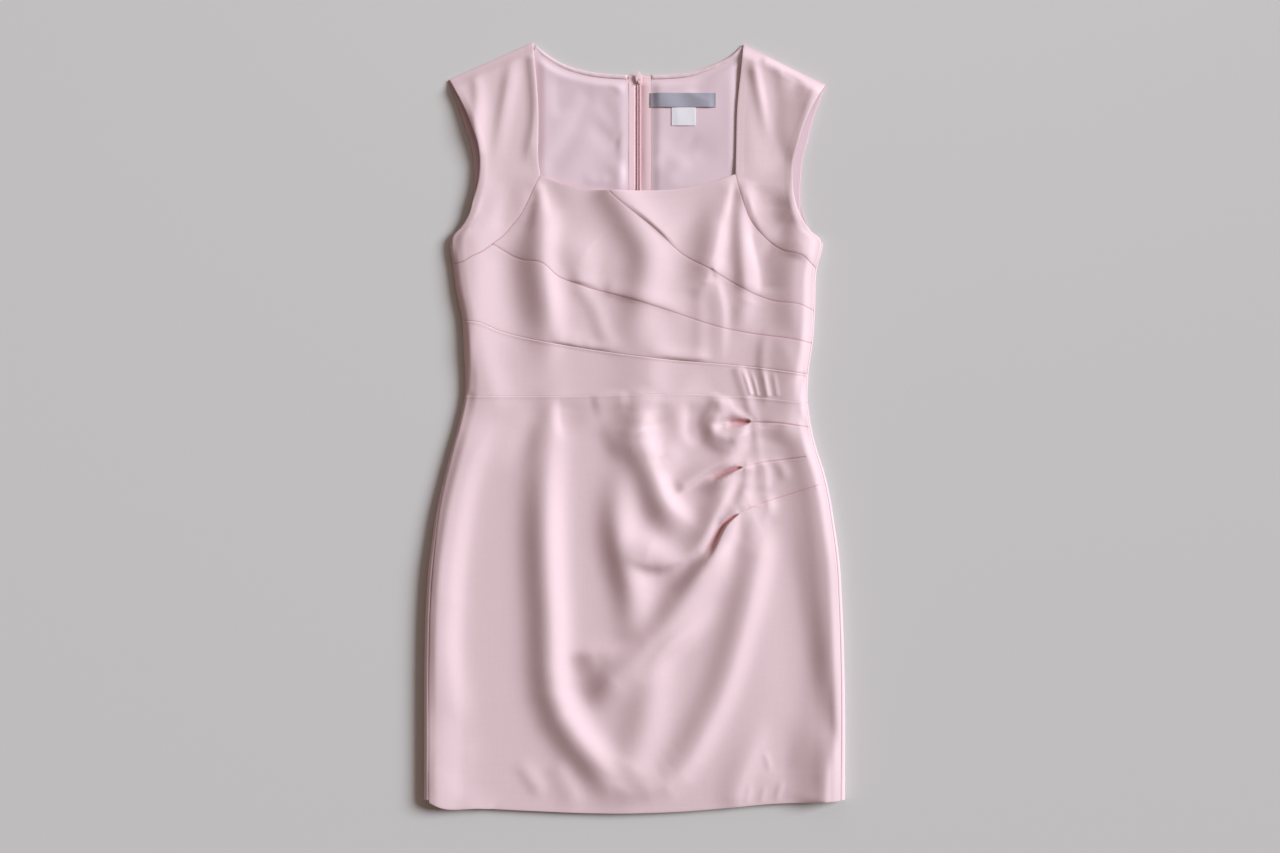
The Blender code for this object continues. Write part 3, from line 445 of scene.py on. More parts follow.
@dataclass(frozen=True)
class SideLine:
    """One side of the dress: its outline, its roll and where the front's edge lies on it."""

    side: Side
    outline: Rows  # y and x down the side
    roll: Rows  # y and radius
    inset: Rows  # y and how far the side seam lies inside the outline
    reach: float  # how far in the roll sinks to the front's base
    set_back: tuple[float, float, float]  # armhole from, to and most
    curl_from: float = 220.0
    curl_fade: float = 30.0
    gap: float = 0.1

    @cached_property
    def table(self) -> Points:
        """y and x up the side in short steps."""
        return Curve(self.outline).at(np.linspace(0.0, 1.0, 300))[::-1]

    def edge_x(self, y: Points) -> Points:
        """x of the outline."""
        return np.interp(y, self.table[:, 0], self.table[:, 1])

    def radius(self, y: Points) -> Points:
        """Radius of the rolled side."""
        return np.interp(y, *np.array(self.roll[::-1], float).T)

    def seam_x(self, y: Points) -> Points:
        """x of the front's edge: its side seam below the underarm and its armhole above.

        Args:
            y: where it is read.

        Returns:
            One x for each y.
        """
        low, high, most = self.set_back
        share = np.clip((y - low) / (high - low), 0.0, 1.0)
        inset = np.interp(y, *np.array(self.inset[::-1], float).T)
        return self.edge_x(y) - self.side.value * (inset + most * 4.0 * share * (1.0 - share))

    def rows(self, low: float, high: float) -> Points:
        """The front's edge between two heights, as a polyline."""
        ys = np.linspace(low, high, max(2, int((high - low) / 2.0)))
        return np.stack([self.seam_x(ys), ys], axis=-1)

    def point(self, y: float) -> tuple[float, float]:
        """The place of the front's edge at y."""
        return (float(self.seam_x(np.array(y))), y)

    def rolled(self, inward: Points, y: Points) -> Points:
        """Height of the front over the rolled side.

        Args:
            inward: distance in from the outline.
            y: where it is read.

        Returns:
            One height for each.
        """
        radius = self.radius(y)
        s = np.clip(inward, 1.0, radius)
        rise = np.sqrt(radius**2 - (radius - s) ** 2)
        slope = np.where(inward < 1.0, (radius - s) / rise, 0.0)
        return radius + rise + slope * (inward - 1.0)

    def curl_end(self, y: Points) -> Points:
        """The angle at which the back's curl ends; a quarter turn down is flat.

        Args:
            y: where it is read.

        Returns:
            One angle for each y, in radians.
        """
        radius = self.radius(y)
        inset = np.interp(y, *np.array(self.inset[::-1], float).T)
        met = np.arccos((radius - inset) / radius) - self.gap / radius
        fade = (1.0 - np.clip((y - self.curl_from) / self.curl_fade, 0.0, 1.0)) ** 2
        return -math.pi / 2 + (met + math.pi / 2) * fade

    def flat_end(self, y: Points) -> Points:
        """x at which the back leaves the floor."""
        reach = np.cos(np.minimum(self.curl_end(y), 0.0))
        return self.edge_x(y) - self.side.value * self.radius(y) * reach

    def from_left(self, bottom: Points, top: Points, centre: Points,
                  outside: Points) -> tuple[Points, Points, Points, Points]:
        """A half piece's bottom, top, left and right edges, from those seen from the centre."""
        if self.side is Side.RIGHT:
            return bottom[::-1], top[::-1], outside, centre
        return bottom, top, centre, outside

    def unrolled_end(self, y: Points) -> Points:
        """x of the back's edge if its curl were laid out flat."""
        arc = self.radius(y) * (self.curl_end(y) + math.pi / 2)
        return self.flat_end(y) + self.side.value * arc


RIGHT_SIDE = SideLine(
    Side.RIGHT,
    outline=(
        (418, -224), (379, -210), (357, -203), (338, -197), (318, -194), (285, -194),
        (257, -199), (242, -208), (228, -220), (217, -221), (196, -218), (165, -214),
        (129, -207), (93, -205), (38, -204), (9, -210), (-27, -220), (-62, -229), (-97, -237),
        (-136, -243), (-167, -247), (-207, -250), (-275, -252), (-360, -252.5), (-447, -252.5),
    ),
    roll=((228, 4.8), (38, 4.8), (-60, 5.6), (-170, 7.0), (-447, 7.0)),
    inset=((228, 1.2), (38, 1.2), (-62, 1.6), (-120, 4.2), (-167, 6.2), (-447, 6.6)),
    reach=42.0,
    set_back=(270.0, 418.0, 8.5),
)
LEFT_SIDE = SideLine(
    Side.LEFT,
    outline=(
        (412, 231), (381, 219), (361, 213), (340, 208), (322, 203), (299, 201), (285, 200),
        (257, 203), (238, 211), (223, 226), (213, 225), (190, 219), (148, 217), (110, 215),
        (65, 209), (32, 208), (21, 209), (-3, 213), (-27, 219), (-51, 227), (-75, 233),
        (-123, 241), (-159, 246), (-207, 249), (-255, 251), (-327, 252.5), (-447, 252.5),
    ),
    roll=((228, 4.8), (38, 4.8), (-60, 5.0), (-170, 5.8), (-447, 6.4)),
    inset=((228, 1.5), (38, 1.8), (-62, 2.8), (-120, 3.2), (-167, 3.8), (-447, 5.6)),
    reach=34.0,
    set_back=(240.0, 412.0, 11.0),
)

SHOULDERS = {
    Side.RIGHT: ((-224.0, 418.0), (-122.0, 463.0)),
    Side.LEFT: ((231.0, 412.0), (131.0, 461.0)),
}
BACK_NECKS = {
    Side.RIGHT: ((5, 424), (-27, 425), (-59, 429), (-85, 437), (-104, 448), (-122, 463)),
    Side.LEFT: ((5, 424), (34, 424.5), (63, 427), (95, 437), (118, 449), (131, 461)),
}
CENTRE_BACK = 5.0
ZIP_EDGE = 3.9  # height at which the lining is sewn to the zip tapes

# Rows of folds: name, height, width on the crest's left and right, the shares of the crest over
# which it rises and falls away, and the crest.
DRAPES = folds(
    ("bust_right", 10.3, 16, 22, 0.33, 0.50,
     ((-130, 304), (-112, 262), (-111, 202), (-102, 126), (-111, 41))),
    ("bust_centre", 9.6, 24, 23, 0.11, 0.41,
     ((-37, 307), (-8, 258), (16, 210), (8, 147), (-2, 75))),
    ("bust_flat", 5.1, 28, 26, 0.54, 0.39, ((-79, 249), (-67, 201), (-37, 191))),
    ("bust_left_in", 9.2, 10, 21, 0.63, 0.33, ((117, 316), (103, 256), (92, 200), (73, 150))),
    ("yoke_crest", 9.7, 20, 26, 0.20, 0.22, ((228, 429), (225, 354), (213, 286), (170, 230))),
    ("side_crest", 4.7, 21, 34, 0.11, 0.10,
     ((-204, 414), (-197, 337), (-194, 245), (-194, 128), (-162, 2))),
    ("long_drape", 12.6, 18, 23, 0.39, 0.16,
     ((-92, 91), (-106, -74), (-102, -221), (-90, -337), (-38, -409), (12, -468))),
    ("hem_drape", 8.4, 22, 16, 0.11, 0.12,
     ((-28, -437), (37, -424), (91, -346), (131, -229), (156, -107))),
    ("low_tuck", 13.0, 21, 21, 0.11, 0.15,
     ((156, -92), (127, -107), (89, -165), (25, -254), (-62, -334))),
    ("centre_drape", 13.0, 14, 23, 0.20, 0.29,
     ((28, 44), (4, -12), (20, -49), (37, -91), (80, -131))),
    ("inner_drape", 12.2, 20, 20, 0.49, 0.49, ((-11, -13), (-19, -112), (-3, -202), (-4, -293))),
    ("middle_tuck", 7.0, 17, 9, 0.14, 0.31,
     ((-14, -151), (28, -164), (62, -152), (95, -103), (129, -24))),
    ("hip_crest", 6.4, 33, 24, 0.10, 0.04,
     ((188, 21), (214, -74), (222, -185), (236, -315), (213, -462))),
    ("midriff_small", 4.6, 22, 34, 0.38, 0.15, ((32, 133), (16, 76), (20, 18))),
    ("strap_outer", 7.7, 34, 7, 0.14, 0.70, ((152, 447), (177, 431), (172, 400))),
    ("upper_swirl", 5.4, 13, 11, 0.12, 0.20,
     ((106, 41), (99, 22), (89, 5), (96, -13), (114, -21), (136, -3))),
    ("upper_mouth", 4.7, 10, 30, 0.17, 0.49, ((140, 14), (129, 0), (93, 6))),
    ("side_crest_left", 7.5, 23, 30, 0.04, 0.16, ((222, 73), (196, 122), (193, 181), (202, 246))),
    ("hem_side_right", 3.0, 29, 23, 0.04, 0.39,
     ((-188, -475), (-222, -433), (-218, -387), (-249, -344))),
    ("midriff_side_left", 6.4, 27, 18, 0.17, 0.30, ((167, -21), (188, 37), (180, 86), (150, 121))),
    ("skirt_middle", 7.3, 26, 23, 0.15, 0.34, ((-20, -426), (7, -373), (18, -311), (24, -247))),
    ("drape_bridge", 7.7, 17, 15, 0.57, 0.42, ((67, -168), (25, -150), (-11, -126))),
    ("hip_right", 4.6, 33, 17, 0.09, 0.30, ((-226, -213), (-217, -131), (-201, -49), (-159, 31))),
    ("low_mouth_crest", 4.9, 30, 9, 0.64, 0.48, ((145, -123), (152, -111), (159, -94), (149, -71))),
    ("skirt_side_right", 4.6, 26, 18, 0.33, 0.11,
     ((-212, -384), (-220, -319), (-227, -255), (-222, -191))),
    ("underarm_left", 5.0, 6, 33, 0.70, 0.22, ((188, 213), (161, 229), (145, 253), (136, 285))),
    ("centre_dent", 4.2, 9, 15, 0.21, 0.07, ((25, -52), (40, -34), (27, -30), (14, 0))),
    ("skirt_cross", 6.8, 9, 23, 0.37, 0.51, ((-82, -278), (-37, -270), (8, -261))),
    ("waist_cross", 4.4, 15, 30, 0.37, 0.64, ((16, 16), (54, 36), (88, 62))),
    ("skirt_inner", 7.4, 10, 13, 0.43, 0.57, ((11, -301), (31, -272), (64, -243), (101, -207))),
)
CREASES = folds(
    ("bust_left_out", 5.6, 12, 11, 0.14, 0.15, ((136, 299), (129, 260), (130, 210), (134, 151))),
    ("yoke_valley", -6.8, 28, 34, 0.31, 0.34, ((162, 292), (160, 252), (184, 209))),
    ("midriff_crest", 1.2, 9, 9, 0.10, 0.09, ((76, 173), (79, 124), (78, 77))),
    ("strap_crest", 2.9, 10, 8, 0.27, 0.64, ((-143, 454), (-158, 374), (-170, 294))),
    ("strap_edge_right", 3.0, 17, 8, 0.06, 0.23, ((-122, 450), (-118, 378), (-129, 310))),
    ("strap_edge_left", -1.2, 12, 12, 0.08, 0.25, ((136, 470), (126, 394), (127, 290))),
    ("strap_mid_left", 3.0, 6, 7, 0.17, 0.66, ((141, 445), (152, 389), (162, 333))),
    ("upper_tuck", 4.1, 8, 7, 0.16, 0.21, ((102, 20), (96, -2), (118, -13), (142, 8))),
    ("hip_valley", -3.7, 34, 34, 0.31, 0.48, ((180, -95), (199, -260), (185, -426))),
    ("middle_mouth", 6.1, 10, 8, 0.18, 0.51, ((146, -53), (129, -50), (106, -63), (68, -77))),
    ("skirt_side_valley", -4.2, 16, 11, 0.30, 0.70, ((237, -394), (232, -332), (238, -265))),
    ("upper_hollow", -4.2, 29, 9, 0.20, 0.19, ((67, 36), (74, -10), (86, -5), (112, 2))),
    ("bust_diagonal", 3.8, 4, 34, 0.30, 0.58, ((53, 217), (12, 254), (-20, 279))),
    ("low_mouth_inner", 3.8, 8, 9, 0.47, 0.37, ((120, -96), (132, -75), (139, -54))),
    ("low_mouth_hollow", -6.0, 8, 12, 0.63, 0.38,
     ((98, -181), (116, -144), (128, -112), (122, -85))),
    ("hem_crest_left", 3.2, 18, 13, 0.19, 0.63,
     ((116, -467), (125, -422), (143, -378), (163, -331))),
    ("bust_seam_dent", 3.5, 12, 12, 0.64, 0.23, ((128, 105), (129, 135), (138, 163))),
    ("midriff_upright", 3.0, 17, 7, 0.66, 0.07, ((100, 61), (104, 102), (104, 142), (95, 181))),
    ("middle_mouth_upper", 5.2, 12, 4, 0.15, 0.36, ((47, -80), (83, -54), (115, -38), (139, -20))),
    ("waist_upright", 1.8, 6, 6, 0.49, 0.04, ((153, -59), (142, 8), (122, 75))),
    ("bust_seam_ridge", 2.3, 5, 13, 0.28, 0.14, ((64, 136), (29, 148), (-7, 158), (-41, 166))),
    ("middle_lip", 2.3, 6, 14, 0.21, 0.17, ((126, -49), (152, -45), (157, -79))),
    ("upper_mouth_hollow", -4.9, 5, 10, 0.44, 0.23, ((88, -2), (107, 6), (127, 5), (150, 4))),
    ("waist_side_upright", 1.5, 6, 8, 0.21, 0.36, ((160, 19), (153, 66), (155, 102), (163, 127))),
    ("low_seam_ridge", 2.8, 3, 10, 0.35, 0.41, ((96, 84), (69, 83), (40, 86), (10, 89))),
    ("hem_corner_left", 2.9, 14, 6, 0.16, 0.52, ((227, -459), (228, -419), (231, -379))),
    ("yoke_seam_left", 3.1, 6, 16, 0.37, 0.65, ((218, 207), (195, 209), (172, 217))),
    ("low_seam_ridge_right", 2.6, 3, 15, 0.54, 0.31, ((-47, 96), (-75, 101), (-104, 106))),
    ("low_tuck_groove", -2.2, 3, 7, 0.42, 0.25, ((75, -160), (91, -134), (104, -103))),
    ("bust_seam_dimple", 2.8, 3, 13, 0.65, 0.17, ((96, 173), (98, 187), (92, 193))),
    ("gather_valley", -3.3, 8, 23, 0.48, 0.30, ((-79, -21), (-87, 12), (-87, 39))),
    ("upper_lip", 2.9, 3, 9, 0.50, 0.37, ((112, -16), (142, -3), (173, 4))),
    ("yoke_seam_groove", -2.3, 10, 7, 0.58, 0.24, ((-134, 218), (-126, 257), (-119, 296))),
    ("yoke_groove", -4.1, 16, 33, 0.41, 0.53, ((-164, 215), (-154, 244), (-148, 275), (-143, 308))),
    ("neck_corner_groove", -2.8, 7, 17, 0.52, 0.18, ((-98, 243), (-101, 272), (-110, 301))),
    ("underarm_groove", -2.4, 5, 13, 0.35, 0.52, ((-204, 229), (-185, 258), (-175, 292))),
    ("hem_ripple_middle", 2.1, 15, 12, 0.38, 0.28, ((-63, -462), (-81, -430), (-100, -398))),
    ("hem_ripple_right", 1.8, 9, 11, 0.32, 0.50, ((-107, -446), (-125, -420), (-145, -395))),
    ("strap_groove_left", -3.0, 25, 13, 0.15, 0.20,
     ((186, 304), (167, 348), (166, 392), (159, 436))),
    ("shoulder_groove_left", -3.2, 13, 3, 0.38, 0.27, ((207, 407), (186, 421), (169, 429))),
    ("armhole_ridge_right", 2.1, 7, 9, 0.04, 0.29,
     ((-191, 325), (-190, 362), (-188, 399), (-194, 437))),
    ("gather_crest", 2.4, 13, 19, 0.40, 0.36, ((-12, -43), (-23, -14), (-38, 12))),
    ("waist_ridge", 2.0, 17, 6, 0.29, 0.24, ((-4, 37), (-30, 36), (-54, 30))),
    ("side_ridge_right", 11.3, 6, 6, 0.04, 0.25,
     ((-203, 38), (-203, 114), (-214, 174), (-218, 226))),
    ("low_tuck_lip", 3.8, 10, 10, 0.49, 0.39, ((42, -199), (72, -180), (94, -157), (116, -137))),
    ("midriff_seam_ridge", 2.4, 3, 12, 0.66, 0.33, ((-33, 164), (-58, 174), (-82, 178))),
    ("midriff_diagonal", 1.7, 10, 10, 0.31, 0.14, ((1, 82), (-33, 106), (-48, 143), (-74, 178))),
    ("middle_stitch_ridge", 1.5, 6, 7, 0.13, 0.31,
     ((183, -67), (171, -43), (142, -46), (101, -52))),
    ("side_valley_right", -3.2, 18, 21, 0.40, 0.27,
     ((-138, 76), (-147, 132), (-154, 186), (-151, 239))),
    ("bust_valley_left", -2.3, 6, 17, 0.14, 0.21, ((153, 159), (152, 185), (146, 212), (140, 241))),
    ("low_seam_middle", 1.8, 3, 7, 0.47, 0.33, ((-19, 94), (-43, 96), (-66, 99))),
    ("waist_groove_right", -2.5, 17, 16, 0.50, 0.30,
     ((-151, -60), (-135, -23), (-120, 11), (-104, 41))),
    ("hem_groove_left", -2.5, 24, 15, 0.36, 0.57,
     ((177, -434), (177, -405), (180, -373), (183, -338))),
    ("side_ridge_left", 6.5, 5, 9, 0.34, 0.11, ((205, 4), (202, 33), (207, 62))),
    ("hem_stroke", 1.0, 2.6, 3.4, 0.40, 0.40, ((163, -416), (160, -402), (154, -386))),
    ("hem_pucker_a", 0.8, 3.0, 3.6, 0.30, 0.40, ((132, -453), (136, -441), (139, -424))),
    ("hem_pucker_b", 0.7, 2.8, 3.2, 0.30, 0.40, ((150, -452), (153, -442), (157, -428))),
    ("hem_pucker_c", 0.9, 3.0, 3.6, 0.30, 0.40, ((169, -451), (172, -439), (178, -421))),
    ("neck_corner_ridge", 1.8, 10, 3, 0.38, 0.32, ((106, 242), (112, 272), (116, 302))),
)
PLEATS = folds(  # short creases that end at the waist seam, above the tucks
    ("waist_pleat_a", 1.5, 2.4, 2.8, 0.55, 0.06, ((127, 78), (134, 58), (140, 38))),
    ("waist_pleat_b", 1.0, 2.2, 2.6, 0.55, 0.06, ((138, 72), (143, 57), (148, 37))),
    ("waist_pleat_c", 1.2, 2.8, 3.2, 0.50, 0.06, ((152, 76), (156, 57), (160, 36))),
    ("waist_pleat_d", 0.8, 3.0, 3.4, 0.50, 0.10, ((165, 72), (168, 54), (171, 36))),
)
POCKETS = (
    Mouth("upper_pocket", 4.6, 0.5, 11.0, 1.0, 0.8, ((140.0, 7.2), (125, 5.0), (108, 2.0))),
    Mouth("middle_pocket", 4.8, 0.5, 8.0, 1.0, 0.8,
          ((129.8, -47), (114, -52.5), (101.7, -58), (86, -66))),
    Mouth("low_pocket", 4.8, 0.5, 6.5, 0.8, 0.5,
          ((126.3, -102), (115, -109), (108, -115.5), (99, -131), (91, -147), (82, -160))),
)
TUCKS = (
    Tuck("upper", 0.7, 15.0, ((206, 1), (198, 2), (179, 5), (140, 7))),
    Tuck("middle", 0.7, 15.0, ((203, -35), (181, -38), (152, -42), (129, -47))),
    Tuck("low", 0.6, 18.0, ((219, -69), (177, -83), (157, -89), (125, -102))),
)
LINING_FOLDS = folds(
    ("lining_strap_trough", -1.5, 14, 22, 0.32, 0.30,
     ((105, 327), (74, 335), (47, 343), (28, 360))),
    ("lining_broad_trough", -1.7, 30, 14, 0.05, 0.12,
     ((-36, 279), (-38, 324), (-29, 370), (-72, 400))),
    ("lining_cross_trough", -1.8, 12, 14, 0.27, 0.31,
     ((-114, 295), (-91, 326), (-71, 356), (-46, 384))),
    ("lining_side_trough", -1.2, 9, 20, 0.31, 0.28, ((-87, 368), (-91, 396), (-91, 425))),
    ("lining_low_crest", 1.3, 11, 16, 0.18, 0.59, ((0, 305), (-24, 305), (-50, 301))),
    ("lining_high_crest", 1.2, 6.6, 12.9, 0.46, 0.46, ((-18, 414), (-43, 413), (-66, 402))),
    ("lining_left_crest", 1.3, 10.4, 10.9, 0.38, 0.36, ((34, 287), (49, 307), (66, 325))),
    ("lining_middle_groove", -1.3, 11, 8.3, 0.18, 0.27,
     ((-18, 310), (-25, 336), (-41, 355), (-58, 373))),
    ("lining_ripple", 1.5, 5.4, 8.9, 0.35, 0.45, ((-25, 299), (-45, 296), (-66, 296))),
    ("lining_left_groove", -1.5, 6.6, 9.7, 0.31, 0.37,
     ((19, 311), (40, 327), (63, 337), (80, 358))),
    ("lining_neck_groove", -0.8, 17.5, 7.4, 0.19, 0.37, ((-9, 397), (-29, 396), (-49, 393))),
    ("lining_shoulder_groove", -1.4, 10.7, 13.9, 0.20, 0.26, ((72, 397), (79, 416), (83, 436))),
    ("lining_zip_pucker_a", 0.8, 3.0, 3.6, 0.40, 0.30, ((-34, 416), (-22, 409), (-9, 398))),
    ("lining_strap_rise", 1.0, 15, 14, 0.20, 0.25,
     ((131, 428), (127, 380), (127, 330), (124, 296))),
    ("lining_zip_pucker_b", 0.5, 2.6, 3.0, 0.40, 0.30, ((-22, 421), (-15, 416), (-8, 410))),
    ("lining_zip_pucker_c", -0.9, 4.0, 5.0, 0.40, 0.40, ((-12, 360), (-20, 348), (-24, 330))),
)


@dataclass(frozen=True)
class Relief:
    """The height of the front's outer face above the floor."""

    sides: tuple[SideLine, ...] = (RIGHT_SIDE, LEFT_SIDE)
    base_bodice: float = 9.0
    base_skirt: float = 8.0
    waist: tuple[float, float] = (0.0, 60.0)  # the base changes between these
    armhole: float = 9.2
    least: float = 5.0  # valleys flatten out on the cloth beneath, at this height
    softness: float = 0.8
    shoulder: float = 3.1
    shoulder_rise: float = 16.0
    underarm: float = 222.0
    armhole_blend: float = 46.0
    side_hold: tuple[float, float] = (2.0, 14.0)  # from the edge, where folds start, and over
    armhole_share: float = 0.4  # of a fold's height, at an armhole's edge
    folds: tuple[Fold | Mouth, ...] = DRAPES + CREASES + PLEATS + POCKETS
    tucks: tuple[Tuck, ...] = TUCKS

    def held(self, points: Points) -> Points:
        """The share of a fold's height that the side seams and armholes let rise.

        Args:
            points: plane points.

        Returns:
            One share for each, 0 at a side seam.
        """
        share = np.ones(len(points))
        start, over = self.side_hold
        loose = smooth((points[:, 1] - self.underarm) / self.armhole_blend)
        for line in self.sides:
            inward = line.side.value * (line.edge_x(points[:, 1]) - points[:, 0])
            free = smooth((inward - start) / over)
            share *= free + (1.0 - free) * self.armhole_share * loose
        return share

    def heights(self, points: Points) -> Points:
        """The outer face's height.

        Args:
            points: plane points.

        Returns:
            One height for each.
        """
        x, y = points[:, 0], points[:, 1]
        low, high = self.waist
        base = self.base_skirt + (self.base_bodice - self.base_skirt) * smooth(
            (y - low) / (high - low))
        height = base.copy()
        armhole = smooth((y - self.underarm) / self.armhole_blend)
        for line in self.sides:
            inward = line.side.value * (line.edge_x(y) - x)
            radius = line.radius(y)
            over = line.rolled(inward, y)
            over = over + (base - 2 * radius) * smooth((inward - radius) / line.reach)
            free = self.armhole + (base - self.armhole) * smooth(inward / line.reach)
            near = inward < radius + line.reach
            height = np.where(near, over + (free - over) * armhole, height)
        drape = sum(fold.heights(points) for fold in self.folds)
        height = height + drape * self.held(points)
        for tuck in self.tucks:
            height = height + tuck.heights(points)
        height = self.least + self.softness * np.logaddexp(
            (height - self.least) / self.softness, 0.0)
        for ends in SHOULDERS.values():
            away = nearest(points, np.array(ends))[0]
            rise = smooth(away / self.shoulder_rise)
            height = np.where(y > self.underarm,
                              self.shoulder + (height - self.shoulder) * rise, height)
        return height


def upright(points: Points, surface: Surface, step: float = 0.4) -> Points:
    """The surface's unit normals, from its slope either way.

    Args:
        points: plane points.
        surface: gives a height for each.
        step: how far either way the slope is read.

    Returns:
        One upward normal for each point.
    """
    dx, dy = np.array([step, 0.0]), np.array([0.0, step])
    slope_x = (surface(points + dx) - surface(points - dx)) / (2 * step)
    slope_y = (surface(points + dy) - surface(points - dy)) / (2 * step)
    normal = np.stack([-slope_x, -slope_y, np.ones_like(slope_x)], axis=-1)
    return normal / np.linalg.norm(normal, axis=-1, keepdims=True)


# ---------------------------------------------------------------- mesh making


def grid_mesh(grid: Points) -> bmesh.types.BMesh:
    """A mesh grid whose vertices stand at the given plane points.

    Args:
        grid: rows of plane points.

    Returns:
        The mesh, flat at height 0 and in millimetres.
    """
    rows, columns = grid.shape[:2]
    bm = bmesh.new()
    bmesh.ops.create_grid(bm, x_segments=columns - 1, y_segments=rows - 1, size=1.0)
    for vertex in bm.verts:
        column = round((vertex.co.x + 1.0) / 2.0 * (columns - 1))
        row = round((vertex.co.y + 1.0) / 2.0 * (rows - 1))
        vertex.co = (*grid[row, column], 0.0)
    return bm


def plane_points(bm: bmesh.types.BMesh) -> Points:
    """The x and y of every vertex."""
    return np.array([vertex.co[:2] for vertex in bm.verts], float)


def lift(bm: bmesh.types.BMesh, heights: Points) -> None:
    """Puts every vertex of a flat mesh at its height."""
    for vertex, z in zip(bm.verts, heights):
        vertex.co.z = z


def refine(bm: bmesh.types.BMesh, lines: Sequence[Points], reach: float, times: int) -> None:
    """Cuts the mesh finer near some lines.

    Args:
        bm: a flat mesh.
        lines: polylines in its plane.
        reach: how near an edge has to be.
        times: how often each edge there is halved.
    """
    for _ in range(times):
        bm.edges.ensure_lookup_table()
        middles = np.array([((e.verts[0].co + e.verts[1].co) / 2)[:2] for e in bm.edges])
        near = np.zeros(len(middles), bool)
        for line in lines:
            near |= nearest(middles, line)[0] < reach
        edges = [bm.edges[i] for i in np.flatnonzero(near)]
        bmesh.ops.subdivide_edges(bm, edges=edges, cuts=1, use_grid_fill=True)
        reach *= 0.8
    loose = [face for face in bm.faces if len(face.verts) > 4]
    bmesh.ops.triangulate(bm, faces=loose)


def finished(bm: bmesh.types.BMesh, name: str, made_of: bpy.types.Material,
             painted_shade: Points | None = None) -> bpy.types.Object:
    """An object from a mesh in millimetres, with its place kept in its mesh.

    Args:
        bm: the mesh, which is freed.
        name: the object's name.
        made_of: its material.
        painted_shade: how much painted shade each vertex takes in a seam or fold, from 0 to 1.

    Returns:
        The object, linked to the scene.
    """
    bmesh.ops.scale(bm, vec=(MM, MM, MM), verts=bm.verts)
    for face in bm.faces:
        face.smooth = True
    mesh = bpy.data.meshes.new(name)
    bm.to_mesh(mesh)
    bm.free()
    # Painted shade for seams and folds, kept as a vertex attribute that the cloth's colour reads.
    if painted_shade is not None:
        mesh.attributes.new("painted_shade", "FLOAT", "POINT").data.foreach_set(
            "value", painted_shade.astype(np.float32))
    mesh.materials.append(made_of)
    obj = bpy.data.objects.new(name, mesh)
    bpy.context.scene.collection.objects.link(obj)
    return obj


def stands_for(obj: bpy.types.Object, node: str, slot: str, body: str = "dress") -> None:
    """Puts a piece on its body in place of its solid.

    Args:
        obj: the piece.
        node: the solid that it replaces.
        slot: not used.
        body: the body that it moves with.
    """
    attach(obj, body)
    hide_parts(node)


def give_wall(obj: bpy.types.Object, wall: float, rounding: float) -> None:
    """Gives a cloth face its thickness, away from its outer side, and rounds its edges.

    Args:
        obj: an object with one open face.
        wall: thickness in millimetres.
        rounding: how far its edges are rounded, in millimetres.
    """
    solid = obj.modifiers.new("cloth thickness", "SOLIDIFY")
    solid.thickness = wall * MM
    solid.offset = -1.0
    solid.use_quality_normals = True
    round_edges = obj.modifiers.new("turned edge", "BEVEL")
    round_edges.width = rounding * MM
    round_edges.segments = 2
    round_edges.limit_method = "ANGLE"
    round_edges.angle_limit = RIM_ANGLE
    round_edges.harden_normals = False


def bevelled(bm: bmesh.types.BMesh, width: float, segments: int = 2) -> None:
    """Rounds every sharp edge of a small hard part.

    Args:
        bm: the mesh.
        width: how far, in the mesh's unit.
        segments: faces across each rounded edge.
    """
    sharp = [e for e in bm.edges if len(e.link_faces) == 2
             and e.calc_face_angle(0.0) > SHARP_ANGLE]
    bmesh.ops.bevel(bm, geom=sharp, offset=width, offset_type="OFFSET", segments=segments,
                    profile=0.5, affect="EDGES", clamp_overlap=True, material=-1)


def plate(bm: bmesh.types.BMesh, outline: Rows, low: float, high: float) -> None:
    """Adds a plate of constant height.

    Args:
        bm: the mesh that it is added to.
        outline: its corners against the clock seen from above.
        low: the height of its lower face.
        high: the height of its upper face.
    """
    face = bm.faces.new([bm.verts.new((x, y, low)) for x, y in outline])
    lifted = bmesh.ops.extrude_face_region(bm, geom=[face])["geom"]
    verts = [v for v in lifted if isinstance(v, bmesh.types.BMVert)]
    bmesh.ops.translate(bm, vec=(0.0, 0.0, high - low), verts=verts)
    bmesh.ops.recalc_face_normals(bm, faces=bm.faces)


def stitch_row(name: str, line: Points, surface: Surface, pitch: float, length: float,
               thread: float, made_of: bpy.types.Material) -> bpy.types.Object:
    """A row of short stitches that lie half sunk in the cloth.

    Args:
        name: the object's name.
        line: the row, as a polyline.
        surface: the cloth's height at plane points.
        pitch: from one stitch to the next.
        length: how much of each stitch shows.
        thread: the thread's diameter.
        made_of: its material.

    Returns:
        The stitches as one object.
    """
    run = length_of(line)
    middles = np.arange(pitch / 2, run, pitch) / run
    half = length / 2 / run
    ends = [spaced(line, middles - half), spaced(line, middles + half)]
    first, last = (np.concatenate([e, surface(e)[:, None]], axis=1) for e in ends)
    bm = bmesh.new()
    for a, b in zip(first, last):
        way = Vector(b - a)
        matrix = Matrix.Translation((a + b) / 2) @ way.to_track_quat("Z", "Y").to_matrix().to_4x4()
        bmesh.ops.create_cone(bm, cap_ends=True, cap_tris=False, segments=6, radius1=thread / 2,
                              radius2=thread / 2, depth=way.length, matrix=matrix)
    bmesh.ops.recalc_face_normals(bm, faces=bm.faces)
    obj = finished(bm, name, made_of)
    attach(obj, "dress")
    return obj


# ---------------------------------------------------------------- finishes


def linear(hex_colour: str) -> tuple[float, float, float, float]:
    """The sRGB colour as the four linear numbers that a socket takes."""
    parts = [int(hex_colour[i:i + 2], 16) / 255 for i in (1, 3, 5)]
    return (*(p / 12.92 if p <= 0.04045 else ((p + 0.055) / 1.055) ** 2.4 for p in parts), 1.0)


